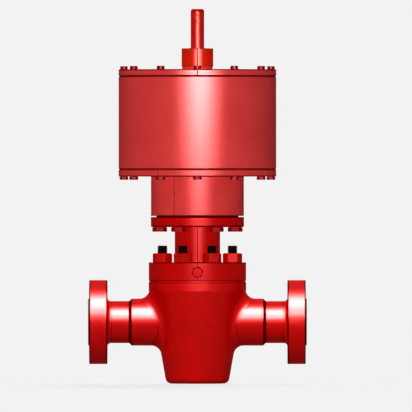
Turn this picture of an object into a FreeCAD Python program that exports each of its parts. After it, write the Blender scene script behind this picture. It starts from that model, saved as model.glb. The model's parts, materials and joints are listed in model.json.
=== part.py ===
import FreeCAD, Part
import os
import re

import Sketcher

# Surface safety valve: a slab gate valve that a spring holds closed and air opens.
# Frame: millimetres, +Z up the stem, +X towards the outlet, -Y the front,
# origin at the centre of the flat bottom of the valve body.

SIZES = {
    # Fits: a running fit is between moving pieces, a thread fit inside a screwed joint
    "running_clearance": 0.3,
    "thread_clearance": 0.1,
    # A tapped hole is deeper than its screw by the tap margin; a cut runs past the face it leaves
    "tap_margin": 2.0,
    "cut_margin": 1.0,
    # Corners of every hexagon: the cut starts at this share of the flats and runs at this angle
    "corner_cut_start": 0.97,
    "corner_cut_reach": 0.62,
    "corner_cut_angle": 30.0,
    "stroke": 60.0,
    # Valve body: a drafted round bowl with two flow stubs and a bolted top flange
    "body_height": 243.2,
    "flow_axis_drop": 96.7,
    "bowl_base_radius": 74.0,
    "bowl_draft": 10.0,
    "bowl_corner_radius": 14.5,
    "bowl_overrun": 30.0,
    "flow_bore": 52.4,
    "stub_diameter": 112.0,
    "stub_bevel": 6.0,
    "stub_fillet": 24.0,
    "body_flange_lip": 0.25,
    "body_flange_thickness": 22.6,
    "joint_step_height": 2.4,
    "joint_step_depth": 1.5,
    "cavity_diameter": 96.0,
    "cavity_floor_gap": 5.5,
    # End flanges: weld-neck, 2-1/16 inch bore, raised face with a ring groove
    "face_to_face": 520.7,
    "raised_face_height": 2.5,
    "raised_face_diameter": 111.1,
    "end_flange_diameter": 200.0,
    "end_flange_thickness": 43.25,
    "end_flange_rounding": 1.8,
    "hub_length": 51.9,
    "hub_fillet": 8.5,
    "end_bolt_circle": 158.8,
    "end_bolt_hole": 22.2,
    "end_bolt_count": 8,
    "ring_groove_diameter": 86.23,
    "ring_groove_width": 12.65,
    "ring_groove_depth": 5.95,
    "ring_groove_taper": 23.0,
    # Seats, their back seals, the gate and its guides
    "seat_diameter": 80.0,
    "seat_reach": 50.0,
    "seat_seal_thickness": 3.0,
    "seat_seal_width": 4.0,
    "seat_seal_offset": 6.0,
    "gate_thickness": 40.0,
    "gate_height": 164.5,
    "gate_bore_to_top": 59.5,
    "gate_corner_radius": 3.0,
    "guide_width": 28.0,
    "guide_depth": 6.0,
    # Stem: a tee head held in the gate, a backseat collar and a threaded top
    "stem_diameter": 32.0,
    "stem_head_diameter": 38.0,
    "stem_head_height": 14.0,
    "gate_lip": 12.0,
    "gate_slot_play": 0.3,
    "collar_gap": 2.0,
    "collar_diameter": 44.0,
    "collar_height": 7.7,
    "stem_thread_diameter": 28.0,
    "stem_thread_length": 28.0,
    # Bonnet: flange, neck and a threaded neck end, with the packing chamber inside
    "bonnet_flange_diameter": 232.0,
    "bonnet_flange_thickness": 45.6,
    "neck_diameter": 108.0,
    "neck_length": 84.1,
    "neck_fillet": 3.0,
    "neck_thread_diameter": 92.0,
    "neck_thread_length": 25.1,
    "stem_bore_length": 24.0,
    "packing_diameter": 54.0,
    "packing_end_height": 6.0,
    "packing_ring_height": 6.4,
    "packing_ring_count": 5,
    "packing_groove": 2.2,
    "packing_gland_diameter": 64.0,
    "packing_gland_nose": 8.0,
    "packing_gland_head": 10.0,
    "spanner_hole": 7.0,
    "spanner_hole_depth": 8.0,
    "spanner_hole_count": 4,
    "body_gasket_diameter": 132.0,
    "body_gasket_width": 9.4,
    "body_gasket_height": 12.0,
    "body_gasket_bevel": 3.0,
    # Bonnet studs, nuts and vent plug
    "stud_count": 8,
    "stud_edge": 25.7,
    "stud_diameter": 24.0,
    "stud_depth": 36.0,
    "stud_rise": 17.9,
    "stud_chamfer": 2.0,
    "stud_hole_play": 2.0,
    "nut_across_flats": 41.0,
    "nut_height": 21.9,
    "vent_plug_height": 22.2,
    "vent_plug_flats": 25.0,
    "vent_plug_head": 9.0,
    "vent_plug_diameter": 20.0,
    "vent_plug_length": 18.0,
    "vent_plug_turn": 10.0,
    "vent_passage": 6.0,
    # Adapter plate and the six screws that hold the spring housing on it
    "adapter_plate_diameter": 222.0,
    "adapter_plate_thickness": 22.9,
    "adapter_plate_bevel": 2.5,
    "adapter_face_diameter": 169.0,
    "adapter_face_height": 4.8,
    "adapter_pilot_diameter": 150.0,
    "adapter_pilot_height": 6.0,
    "screw_count": 6,
    "screw_edge": 21.1,
    "screw_diameter": 16.0,
    "screw_flats": 31.0,
    "screw_head": 11.0,
    "screw_reach": 24.0,
    "screw_hole_play": 1.0,
    # Spring housing: a tube on a heavy ring, with four breather holes
    "housing_inset": 0.3,
    "housing_height": 93.0,
    "housing_wall": 12.0,
    "housing_ring_height": 29.4,
    "breather_height": 23.0,
    "breather_diameter": 4.0,
    "breather_count": 4,
    "breather_turn": 30.0,
    # Cylinder: bottom plate, barrel and top cover
    "cylinder_diameter": 375.6,
    "barrel_wall": 25.3,
    "barrel_length": 221.6,
    "bottom_plate_thickness": 16.8,
    "cover_thickness": 16.4,
    "joint_bevel": 2.1,
    "spigot_height": 6.0,
    "cover_boss_diameter": 72.8,
    "cover_boss_height": 7.1,
    "gland_thread_diameter": 50.0,
    "supply_port_radius": 110.0,
    "supply_port_diameter": 18.6,
    "supply_boss_diameter": 34.0,
    "supply_boss_height": 5.0,
    "cover_ring_section": 4.0,
    "cover_ring_land": 1.0,
    # Cylinder bolts: twelve in the cover and twelve in the bottom plate
    "cylinder_bolt_count": 12,
    "cylinder_bolt_edge": 12.6,
    "cylinder_bolt_diameter": 12.0,
    "cylinder_bolt_reach": 22.0,
    "cylinder_bolt_play": 1.0,
    "cover_bolt_head_diameter": 18.0,
    "cover_bolt_head": 8.0,
    "cover_bolt_key": 8.0,
    "cover_bolt_key_depth": 4.0,
    "plate_bolt_flats": 18.0,
    "plate_bolt_head": 8.0,
    # Rod gland, its seals and the indicator rod
    "gland_diameter": 75.3,
    "gland_height": 43.3,
    "gland_rounding": 1.0,
    "gland_thread_length": 20.0,
    "rod_seal_section": 3.7,
    "rod_seal_height": 6.0,
    "rod_seal_low": 12.0,
    "rod_seal_high": 26.0,
    "wiper_height": 6.5,
    "wiper_section": 4.5,
    "wiper_lip": 1.0,
    "rod_diameter": 32.0,
    "rod_exposed": 94.0,
    "rod_tip_rise": 5.0,
    "rod_tip_bevel": 2.0,
    "rod_spigot_diameter": 26.0,
    "rod_thread_length": 28.0,
    # Piston, its ring seals, lock nut and coupling
    "piston_thickness": 28.0,
    "piston_hub_diameter": 120.0,
    "piston_hub_height": 3.7,
    "piston_seal_land": 4.0,
    "piston_seal_height": 7.0,
    "piston_seal_section": 6.0,
    "wear_ring_land": 3.0,
    "wear_ring_height": 8.0,
    "wear_ring_section": 3.0,
    "lock_nut_flats": 46.0,
    "lock_nut_height": 16.0,
    "coupling_diameter": 72.0,
    "coupling_length": 60.0,
    "coupling_bevel": 2.0,
    # Main spring between its seats, and the sleeve that ends the stroke
    "spring_mean_diameter": 148.0,
    "spring_wire": 20.0,
    "spring_coils": 8.0,
    "spring_grind": 5.0,
    "spring_guide_play": 0.5,
    "lower_seat_thickness": 6.0,
    "upper_seat_thickness": 8.0,
    "seat_guide_wall": 11.0,
    "seat_guide_height": 8.0,
    "upper_seat_diameter": 192.0,
    "sleeve_diameter": 100.0,
    "sleeve_wall": 8.0,
}

# Diameters that follow from the sizes, as expressions
BODY_FLANGE = "(bonnet_flange_diameter + 2 * body_flange_lip)"
STUD_CIRCLE = "(bonnet_flange_diameter - 2 * stud_edge)"
HUB = "(stub_diameter - 2 * stub_bevel)"
HOUSING = "(adapter_plate_diameter - 2 * housing_inset)"
SCREW_CIRCLE = "(adapter_plate_diameter - 2 * screw_edge)"
CYLINDER_BORE = "(cylinder_diameter - 2 * barrel_wall)"
CYLINDER_BOLT_CIRCLE = "(cylinder_diameter - 2 * cylinder_bolt_edge)"
GATE_WIDTH = "(cavity_diameter - 2 * guide_depth)"

# Heights and reaches that follow from the sizes, as expressions
FLOW_AXIS = "(body_height - flow_axis_drop)"
FLANGE_FACE = "face_to_face / 2 - raised_face_height"
FLANGE_BACK = f"{FLANGE_FACE} - end_flange_thickness"
STUB_END = f"{FLANGE_BACK} - hub_length"
SEAT_FACE = "gate_thickness / 2 + running_clearance"
BONNET_TOP = "body_height + bonnet_flange_thickness"
NECK_TOP = f"{BONNET_TOP} + neck_length"
NECK_END = f"{NECK_TOP} + neck_thread_length"
ADAPTER_TOP = f"{NECK_TOP} + adapter_plate_thickness"
HOUSING_BASE = f"{ADAPTER_TOP} + adapter_face_height"
HOUSING_TOP = f"{HOUSING_BASE} + housing_height"
RING_TOP = f"{HOUSING_BASE} + housing_ring_height"
BARREL_BASE = f"{HOUSING_TOP} + bottom_plate_thickness"
BARREL_TOP = f"{BARREL_BASE} + barrel_length"
COVER_TOP = f"{BARREL_TOP} + cover_thickness"
SPIGOT_FACE = f"{BARREL_TOP} - spigot_height"
BOSS_TOP = f"{COVER_TOP} + cover_boss_height"
GLAND_TOP = f"{BOSS_TOP} + gland_height"
ROD_TOP = f"{GLAND_TOP} + rod_exposed"
GATE_TOP = f"{FLOW_AXIS} + stroke + gate_bore_to_top"
CAVITY_FLOOR = f"({FLOW_AXIS} + gate_bore_to_top - gate_height - cavity_floor_gap)"
HEAD_TOP = f"{GATE_TOP} - gate_lip"
HEAD_BASE = f"{HEAD_TOP} - stem_head_height"
COLLAR_BASE = f"{GATE_TOP} + collar_gap"
COLLAR_TOP = f"{COLLAR_BASE} + collar_height"
CAVITY_ROOF = f"{COLLAR_TOP} + running_clearance"
CHAMBER_FLOOR = f"{CAVITY_ROOF} + stem_bore_length"
PACKING_BASE = f"{CHAMBER_FLOOR} + packing_end_height"
PACKING_TOP = f"{PACKING_BASE} + packing_ring_count * packing_ring_height"
FOLLOWER_TOP = f"{PACKING_TOP} + packing_end_height"
GLAND_SHOULDER = f"{FOLLOWER_TOP} + packing_gland_nose"
HUB_TOP = f"{SPIGOT_FACE} - running_clearance"
PISTON_TOP = f"{HUB_TOP} - piston_hub_height"
PISTON_BASE = f"{PISTON_TOP} - piston_thickness"
UPPER_SEAT_BASE = f"{PISTON_BASE} - upper_seat_thickness"
LOWER_SEAT_TOP = f"{RING_TOP} + lower_seat_thickness"
SLEEVE_TOP = f"{UPPER_SEAT_BASE} - stroke - running_clearance"
COUPLING_TOP = f"{UPPER_SEAT_BASE} - lock_nut_height"
COUPLING_BASE = f"{COUPLING_TOP} - coupling_length"
HOUSING_BORE_RADIUS = f"({HOUSING} / 2 - housing_wall)"

doc = FreeCAD.newDocument("surface_safety_valve")
sheet = doc.addObject("Spreadsheet::Sheet", "Sizes")
for row, (alias, size) in enumerate(SIZES.items(), start=1):
    sheet.set(f"A{row}", alias)
    sheet.set(f"B{row}", str(size))
    sheet.setAlias(f"B{row}", alias)
doc.recompute()

nodes = []


def tied(text):
    """Puts the sheet's name before each size in an expression."""
    def with_sheet(word):
        return "Sizes." + word.group() if word.group() in SIZES else word.group()
    return re.sub(r"[a-z][a-z0-9_]+", with_sheet, text)


def number(text):
    """Works an expression out with the sheet's present sizes."""
    return float(sheet.evalExpression(tied(text)))


def half(text):
    """Gives the radius for a diameter."""
    return f"({text}) / 2"


def new_body(label):
    """Starts the body of one node."""
    body = doc.addObject("PartDesign::Body", label)
    body.Label = label
    nodes.append(body)
    return body


def new_form(label):
    """Starts a body that is only copied, as the pattern of a fastener."""
    body = doc.addObject("PartDesign::Body", label)
    body.Label = label
    return body


def datum(body, role):
    """Finds one of a body's own base planes or axes."""
    return next(item for item in body.Origin.OriginFeatures if item.Role == role)


def new_sketch(body, name, plane, offset="0"):
    """Lays a sketch on a base plane of its body, moved along the plane's normal."""
    sketch = body.newObject("Sketcher::SketchObject", name)
    sketch.AttachmentSupport = (datum(body, plane), "")
    sketch.MapMode = "FlatFace"
    if offset != "0":
        sketch.setExpression("AttachmentOffset.Base.z", tied(offset))
    return sketch


def place_points(sketch, places):
    """Ties sketch points to distances from the origin; places are (geometry, point, across, up)."""
    for geometry, point, across, up in places:
        for direction, axis, text in (("DistanceX", -2, across), ("DistanceY", -1, up)):
            if text == "0":
                sketch.addConstraint(Sketcher.Constraint("PointOnObject", geometry, point, axis))
                continue
            held = Sketcher.Constraint(direction, -1, 1, geometry, point, number(text))
            row = sketch.addConstraint(held)
            sketch.setExpression(f"Constraints[{row}]", tied(text))


def outline(body, name, plane, corners, offset="0"):
    """Draws a closed outline through corners given as pairs of expressions."""
    sketch = new_sketch(body, name, plane, offset)
    spots = [FreeCAD.Vector(number(across), number(up), 0) for across, up in corners]
    count = len(corners)
    sketch.addGeometry([Part.LineSegment(spots[i], spots[(i + 1) % count]) for i in range(count)])
    sketch.addConstraint([Sketcher.Constraint("Coincident", i, 2, (i + 1) % count, 1)
                          for i in range(count)])
    place_points(sketch, [(i, 1, across, up) for i, (across, up) in enumerate(corners)])
    return sketch


def turned(body, name, corners, cut=False, plane="XZ_Plane", axis="V_Axis", offset="0"):
    """Turns an outline round the upright (or, for the flow line, the level) axis of its sketch."""
    sketch = outline(body, name + "_outline", plane, corners, offset)
    kind = "PartDesign::Groove" if cut else "PartDesign::Revolution"
    feature = body.newObject(kind, name)
    feature.Profile = sketch
    feature.ReferenceAxis = (sketch, [axis])
    feature.Angle = 360
    body.Tip = feature
    return feature


def ring_piece(label, inner, outer, base, top):
    """Makes a plain ring, the simplest turned node."""
    body = new_body(label)
    turned(body, label + "_turn", [(inner, base), (outer, base), (outer, top), (inner, top)])
    return body


def bored(body, name, diameter, across, up, depth, plane="XY_Plane", offset="0"):
    """Bores one round hole against the normal of its plane, from the offset inwards."""
    sketch = new_sketch(body, name + "_circle", plane, offset)
    centre = FreeCAD.Vector(number(across), number(up), 0)
    sketch.addGeometry(Part.Circle(centre, FreeCAD.Vector(0, 0, 1), number(f"({diameter}) / 2")))
    place_points(sketch, [(0, 3, across, up)])
    row = sketch.addConstraint(Sketcher.Constraint("Diameter", 0, number(diameter)))
    sketch.setExpression(f"Constraints[{row}]", tied(diameter))
    pocket = body.newObject("PartDesign::Pocket", name)
    pocket.Profile = sketch
    pocket.setExpression("Length", tied(depth))
    body.Tip = pocket
    return pocket


def turn_sketch(sketch, distance, angle):
    """Turns a sketch that faces the front by an angle round the stem line, to its left."""
    sketch.AttachmentOffset = FreeCAD.Placement(
        FreeCAD.Vector(), FreeCAD.Rotation(FreeCAD.Vector(0, 1, 0), -number(angle)))
    sketch.setExpression("AttachmentOffset.Base.x", tied(f"-({distance}) * sin({angle})"))
    sketch.setExpression("AttachmentOffset.Base.z", tied(f"({distance}) * cos({angle})"))


def repeated(body, name, feature, count, axis="Z_Axis"):
    """Repeats a feature evenly round the body's axis."""
    pattern = body.newObject("PartDesign::PolarPattern", name)
    pattern.Originals = [feature]
    pattern.Axis = (datum(body, axis), [""])
    pattern.Angle = 360
    pattern.setExpression("Occurrences", tied(count))
    body.Tip = pattern
    return pattern


def bored_circle(body, name, diameter, circle, count, first, depth, level):
    """Bores a circle of holes straight down from a level."""
    across = f"({circle}) / 2 * cos({first})" if first != "0" else f"({circle}) / 2"
    up = f"({circle}) / 2 * sin({first})" if first != "0" else "0"
    hole = bored(body, name, diameter, across, up, depth, offset=level)
    return repeated(body, name + "_circle_of_holes", hole, count)


def rims(shape, wanted):
    """Names the circular edges that lie at the given radii and heights."""
    names = []
    for index, edge in enumerate(shape.Edges, start=1):
        if not isinstance(edge.Curve, Part.Circle):
            continue
        centre = edge.Curve.Center
        for radius, height in wanted:
            off = abs(edge.Curve.Radius - radius) + abs(centre.z - height)
            if off + abs(centre.x) + abs(centre.y) < 0.01:
                names.append(f"Edge{index}")
    return names


def dressed(body, name, kind, size, places):
    """Rounds (Fillet) or bevels (Chamfer) the rims at the given radii and heights."""
    doc.recompute()
    base = body.Tip
    wanted = [(number(radius), number(height)) for radius, height in places]
    feature = body.newObject("PartDesign::" + kind, name)
    feature.Base = (base, rims(base.Shape, wanted))
    feature.setExpression("Radius" if kind == "Fillet" else "Size", tied(size))
    body.Tip = feature
    return feature


def hexagon(body, name, flats, height, base="0", cut=False):
    """Pads (or pockets) a regular hexagon whose first corner points along +X."""
    sketch = new_sketch(body, name + "_hexagon", "XY_Plane", base)
    reach = number(f"({flats}) / sqrt(3)")
    turn = FreeCAD.Rotation(FreeCAD.Vector(0, 0, 1), 60)
    corner = FreeCAD.Vector(reach, 0, 0)
    for side in range(6):
        following = turn.multVec(corner)
        sketch.addGeometry(Part.LineSegment(corner, following))
        corner = following
    circle = sketch.addGeometry(Part.Circle(FreeCAD.Vector(), FreeCAD.Vector(0, 0, 1), reach), True)
    held = [Sketcher.Constraint("Coincident", side, 2, (side + 1) % 6, 1) for side in range(6)]
    held += [Sketcher.Constraint("Equal", 0, side) for side in range(1, 6)]
    held += [Sketcher.Constraint("PointOnObject", side, 1, circle) for side in range(6)]
    held += [Sketcher.Constraint("Coincident", circle, 3, -1, 1)]
    held += [Sketcher.Constraint("PointOnObject", 0, 1, -1)]
    sketch.addConstraint(held)
    row = sketch.addConstraint(Sketcher.Constraint("Radius", circle, reach))
    sketch.setExpression(f"Constraints[{row}]", tied(f"({flats}) / sqrt(3)"))
    feature = body.newObject("PartDesign::" + ("Pocket" if cut else "Pad"), name)
    feature.Profile = sketch
    feature.setExpression("Length", tied(height))
    body.Tip = feature
    return feature


def corner_cut(body, name, flats, level, at_base=False):
    """Turns off the corners of a hexagon under its top, or over its base."""
    start = f"{half(flats)} * corner_cut_start"
    reach = f"({flats}) * corner_cut_reach"
    drop = f"({reach} - {start}) * tan(corner_cut_angle)"
    far = f"{level} + {drop}" if at_base else f"{level} - {drop}"
    return turned(body, name, [(start, level), (reach, level), (reach, far)], cut=True)


def hex_screw(form, flats, head, diameter, grip):
    """Makes a screw that stands on its hexagon head, with the shank upwards."""
    name = form.Label
    hexagon(form, name + "_head", flats, head)
    corner_cut(form, name + "_corners", flats, "0", at_base=True)
    tip = f"{head} + {grip}"
    turned(form, name + "_shank", [("0", head), (half(diameter), head), (half(diameter), tip), ("0", tip)])


def ring_of(label, form, count, circle, first, level, turns=None):
    """Places copies of a fastener round the stem line, as one node of separate solids."""
    copies = []
    total = round(number(count))
    for index in range(total):
        angle = f"{first} + 360 * {index} / {total}"
        copy = doc.addObject("App::Link", f"{label}_{index + 1}")
        copy.LinkedObject = form
        copy.setExpression("Placement.Base.x", tied(f"({circle}) / 2 * cos({angle})"))
        copy.setExpression("Placement.Base.y", tied(f"({circle}) / 2 * sin({angle})"))
        copy.setExpression("Placement.Base.z", tied(level))
        spin = turns[index % len(turns)] if turns else 0
        copy.setExpression("Placement.Rotation.Angle", tied(f"{angle} + {spin}"))
        copies.append(copy)
    group = doc.addObject("Part::Compound", label)
    group.Label = label
    group.Links = copies
    nodes.append(group)
    return group


def laid_along_flow(body, side):
    """Lays a piece that was turned upright along the flow line, on the inlet or outlet side."""
    turn = 90 if side == "outlet" else -90
    body.Placement = FreeCAD.Placement(FreeCAD.Vector(0, 0, number(FLOW_AXIS)),
                                       FreeCAD.Rotation(FreeCAD.Vector(0, 1, 0), turn))
    body.setExpression("Placement.Base.z", tied(FLOW_AXIS))


def mirrored_flow_turn(body, name, corners, cut=False):
    """Turns an outline round the flow line on the outlet side, and mirrors it to the inlet side."""
    feature = turned(body, name, corners, cut, "XY_Plane", "H_Axis", FLOW_AXIS)
    mirror = body.newObject("PartDesign::Mirrored", name + "_mirrored")
    mirror.Originals = [feature]
    mirror.MirrorPlane = (datum(body, "YZ_Plane"), [""])
    body.Tip = mirror
    return mirror


def make_valve_body():
    """Bowl with flow stubs, top flange, gate cavity, seat pockets and tapped stud holes."""
    body = new_body("valve_body")
    # The bowl is drawn taller than it stands, so the stub fillets run out under the flange
    cone_top = "(body_height + bowl_overrun)"
    wide = f"bowl_base_radius + {cone_top} * tan(bowl_draft)"
    turned(body, "bowl", [("0", "0"), ("bowl_base_radius", "0"), (wide, cone_top), ("0", cone_top)])
    dressed(body, "bowl_corner", "Fillet", "bowl_corner_radius", [("bowl_base_radius", "0")])
    stub = half("stub_diameter")
    mirrored_flow_turn(body, "stub", [("0", "0"), (STUB_END, "0"), (STUB_END, f"{stub} - stub_bevel"),
                                      (f"{STUB_END} - stub_bevel", stub), ("0", stub)])
    doc.recompute()
    base = body.Tip
    saddles = [f"Edge{index}" for index, edge in enumerate(base.Shape.Edges, start=1)
               if not isinstance(edge.Curve, (Part.Circle, Part.Line))]
    blend = body.newObject("PartDesign::Fillet", "stub_fillets")
    blend.Base = (base, saddles)
    blend.setExpression("Radius", tied("stub_fillet"))
    body.Tip = blend
    flange = half(BODY_FLANGE)
    ledge = "body_height - body_flange_thickness"
    step_base = "body_height - joint_step_height"
    trim_reach = f"{STUB_END} + cut_margin"
    trim_top = f"{cone_top} + cut_margin"
    turned(body, "bowl_trim", [("0", ledge), (trim_reach, ledge), (trim_reach, trim_top), ("0", trim_top)],
           cut=True)
    turned(body, "top_flange", [("0", ledge), (flange, ledge), (flange, step_base),
                                (f"{flange} - joint_step_depth", step_base),
                                (f"{flange} - joint_step_depth", "body_height"), ("0", "body_height")])
    cavity = half("cavity_diameter")
    gasket_out = f"{half('body_gasket_diameter')} + thread_clearance"
    gasket_in = f"{half('body_gasket_diameter')} - body_gasket_width - thread_clearance"
    turned(body, "cavity", [("0", CAVITY_FLOOR), (cavity, CAVITY_FLOOR), (cavity, "body_height"),
                            ("0", "body_height")], cut=True)
    groove_floor = "body_height - body_gasket_height / 2"
    turned(body, "gasket_groove", [(gasket_in, groove_floor), (gasket_out, groove_floor),
                                   (gasket_out, "body_height"), (gasket_in, "body_height")], cut=True)
    pocket = f"{half('seat_diameter')} + thread_clearance"
    bore = half("flow_bore")
    mirrored_flow_turn(body, "flow_way", [("0", "0"), (STUB_END, "0"), (STUB_END, bore),
                                          ("seat_reach", bore), ("seat_reach", pocket), ("0", pocket)],
                       cut=True)
    bored_circle(body, "stud_hole", "stud_diameter + 2 * thread_clearance", STUD_CIRCLE, "stud_count",
                 "180 / stud_count", "stud_depth + tap_margin", "body_height")


def make_end_flange(side):
    """Weld-neck flange with a raised face, a tapered ring groove and its bolt holes."""
    body = new_body(f"{side}_flange")
    face = "face_to_face / 2"
    rim = half("end_flange_diameter")
    hub = half(HUB)
    raised = half("raised_face_diameter")
    groove_out = half("ring_groove_diameter")
    groove_in = f"{groove_out} - ring_groove_width"
    lean = "ring_groove_depth * tan(ring_groove_taper)"
    groove_floor = f"{face} - ring_groove_depth"
    turned(body, f"{side}_flange_turn", [
        (half("flow_bore"), STUB_END), (hub, STUB_END), (hub, FLANGE_BACK), (rim, FLANGE_BACK),
        (rim, FLANGE_FACE), (raised, FLANGE_FACE), (raised, face), (groove_out, face),
        (f"{groove_out} - {lean}", groove_floor), (f"{groove_in} + {lean}", groove_floor),
        (groove_in, face), (half("flow_bore"), face)])
    dressed(body, f"{side}_hub_fillet", "Fillet", "hub_fillet", [(hub, FLANGE_BACK)])
    dressed(body, f"{side}_rim_rounding", "Fillet", "end_flange_rounding",
            [(rim, FLANGE_BACK), (rim, FLANGE_FACE)])
    bored_circle(body, f"{side}_bolt_hole", "end_bolt_hole", "end_bolt_circle", "end_bolt_count",
                 "180 / end_bolt_count", "end_flange_thickness + cut_margin", FLANGE_FACE)
    laid_along_flow(body, side)


def make_seat(side):
    """Seat ring with a groove for its back seal, and the seal in it."""
    seat = new_body(f"seat_ring_{side}")
    rim = half("seat_diameter")
    floor = f"{rim} - seat_seal_thickness"
    seal_out = "seat_reach - seat_seal_offset + seat_seal_width / 2"
    seal_in = "seat_reach - seat_seal_offset - seat_seal_width / 2"
    turned(seat, f"seat_ring_{side}_turn", [
        (half("flow_bore"), SEAT_FACE), (rim, SEAT_FACE), (rim, seal_in), (floor, seal_in),
        (floor, seal_out), (rim, seal_out), (rim, "seat_reach"), (half("flow_bore"), "seat_reach")])
    laid_along_flow(seat, side)
    seal = ring_piece(f"seat_seal_{side}", floor, f"{rim} + thread_clearance", seal_in, seal_out)
    laid_along_flow(seal, side)


def primitive(kind, name, **sizes):
    """Makes a Part primitive whose properties and place are expressions; underscores stand for dots."""
    shape = doc.addObject("Part::" + kind, name)
    for key, text in sizes.items():
        shape.setExpression(key.replace("_", "."), tied(text))
    return shape


def cut_from(label, base, tools):
    """Cuts several tools from a base, as one node."""
    tool = tools[0]
    if len(tools) > 1:
        tool = doc.addObject("Part::MultiFuse", label + "_cuts")
        tool.Shapes = tools
    result = doc.addObject("Part::Cut", label)
    result.Label = label
    result.Base = base
    result.Tool = tool
    nodes.append(result)
    return result


def make_gate():
    """Slab gate with its through bore above the flow line and a tee slot in its top."""
    slab = primitive("Box", "gate_slab", Length="gate_thickness", Width=GATE_WIDTH,
                     Height="gate_height", Placement_Base_x="-gate_thickness / 2",
                     Placement_Base_y=f"-{GATE_WIDTH} / 2", Placement_Base_z=f"{GATE_TOP} - gate_height")
    doc.recompute()
    slab_rounded = doc.addObject("Part::Fillet", "gate_slab_rounded")
    slab_rounded.Base = slab
    radius = number("gate_corner_radius")
    uprights = [index for index, edge in enumerate(slab.Shape.Edges, start=1)
                if abs(edge.tangentAt(edge.FirstParameter).z) > 0.99]
    slab_rounded.Edges = [(index, radius, radius) for index in uprights]
    through = "gate_thickness + 2 * cut_margin"
    ahead = "-gate_thickness / 2 - cut_margin"
    bore = primitive("Cylinder", "gate_bore", Radius="flow_bore / 2", Height=through,
                     Placement_Base_x=ahead, Placement_Base_z=f"{FLOW_AXIS} + stroke")
    bore.Placement.Rotation = FreeCAD.Rotation(FreeCAD.Vector(0, 1, 0), 90)
    head = "stem_head_diameter + 2 * gate_slot_play"
    neck = "stem_diameter + 2 * gate_slot_play"
    slot_base = f"{HEAD_BASE} - gate_slot_play"
    wide = primitive("Box", "gate_slot_wide", Length=through, Width=head,
                     Height="stem_head_height + 2 * gate_slot_play",
                     Placement_Base_x=ahead, Placement_Base_y=f"-({head}) / 2",
                     Placement_Base_z=slot_base)
    narrow = primitive("Box", "gate_slot_narrow", Length=through, Width=neck,
                       Height="gate_lip + cut_margin", Placement_Base_x=ahead,
                       Placement_Base_y=f"-({neck}) / 2", Placement_Base_z=HEAD_TOP)
    cut_from("gate", slab_rounded, [bore, wide, narrow])


def make_gate_guide(side):
    """Guide between the gate's edge and the cavity wall, at the front or the rear."""
    inner = f"{GATE_WIDTH} / 2 + running_clearance"
    outer = "cavity_diameter / 2"
    ahead = side == "rear"
    strip = primitive("Box", f"gate_guide_{side}_strip", Length="guide_width", Width=f"{outer} - ({inner})",
                      Height=f"body_height - {CAVITY_FLOOR}", Placement_Base_x="-guide_width / 2",
                      Placement_Base_y=inner if ahead else f"-({outer})",
                      Placement_Base_z=CAVITY_FLOOR)
    wall = primitive("Cylinder", f"gate_guide_{side}_wall", Radius=outer,
                     Height=f"body_height - {CAVITY_FLOOR}", Placement_Base_z=CAVITY_FLOOR)
    guide = doc.addObject("Part::Common", f"gate_guide_{side}")
    guide.Label = f"gate_guide_{side}"
    guide.Base = strip
    guide.Tool = wall
    nodes.append(guide)


def make_bonnet():
    """Bonnet with its flange, neck, packing chamber, stud holes and vent port."""
    body = new_body("bonnet")
    flange = half("bonnet_flange_diameter")
    stepped = f"{flange} - joint_step_depth"
    step_top = "body_height + joint_step_height"
    neck = half("neck_diameter")
    neck_end = half("neck_thread_diameter")
    turned(body, "bonnet_turn", [
        ("0", "body_height"), (stepped, "body_height"), (stepped, step_top), (flange, step_top),
        (flange, BONNET_TOP), (neck, BONNET_TOP), (neck, NECK_TOP), (neck_end, NECK_TOP),
        (neck_end, NECK_END), ("0", NECK_END)])
    dressed(body, "neck_fillet_round", "Fillet", "neck_fillet", [(neck, BONNET_TOP)])
    cavity = half("cavity_diameter")
    way = f"{half('stem_diameter')} + running_clearance"
    chamber = half("packing_diameter")
    gland = f"{half('packing_gland_diameter')} + thread_clearance"
    turned(body, "bonnet_bore", [
        ("0", "body_height"), (cavity, "body_height"), (cavity, CAVITY_ROOF), (way, CAVITY_ROOF),
        (way, CHAMBER_FLOOR), (chamber, CHAMBER_FLOOR), (chamber, GLAND_SHOULDER),
        (gland, GLAND_SHOULDER), (gland, NECK_END), ("0", NECK_END)], cut=True)
    gasket_out = f"{half('body_gasket_diameter')} + thread_clearance"
    gasket_in = f"{half('body_gasket_diameter')} - body_gasket_width - thread_clearance"
    groove_roof = "body_height + body_gasket_height / 2"
    turned(body, "bonnet_gasket_groove", [(gasket_in, "body_height"), (gasket_out, "body_height"),
                                          (gasket_out, groove_roof), (gasket_in, groove_roof)], cut=True)
    bored_circle(body, "bonnet_stud_hole", "stud_diameter + stud_hole_play", STUD_CIRCLE, "stud_count",
                 "180 / stud_count", "bonnet_flange_thickness", BONNET_TOP)
    port = "body_height + vent_plug_height"
    bored(body, "vent_port", "vent_plug_diameter + 2 * thread_clearance", "0", port,
          "vent_plug_length + tap_margin", "XZ_Plane", flange)
    bored(body, "vent_passage_bore", "vent_passage", "0", port, f"{flange} - {cavity} + cut_margin",
          "XZ_Plane", flange)


def make_gasket():
    """Ring gasket with bevelled corners, shared by the grooves of body and bonnet."""
    body = new_body("bonnet_ring_gasket")
    outer = half("body_gasket_diameter")
    inner = f"{outer} - body_gasket_width"
    low = "body_height - body_gasket_height / 2"
    high = "body_height + body_gasket_height / 2"
    bevel = "body_gasket_bevel"
    turned(body, "bonnet_ring_gasket_turn", [
        (f"{inner} + {bevel}", low), (f"{outer} - {bevel}", low), (outer, f"{low} + {bevel}"),
        (outer, f"{high} - {bevel}"), (f"{outer} - {bevel}", high), (f"{inner} + {bevel}", high),
        (inner, f"{high} - {bevel}"), (inner, f"{low} + {bevel}")])


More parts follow.
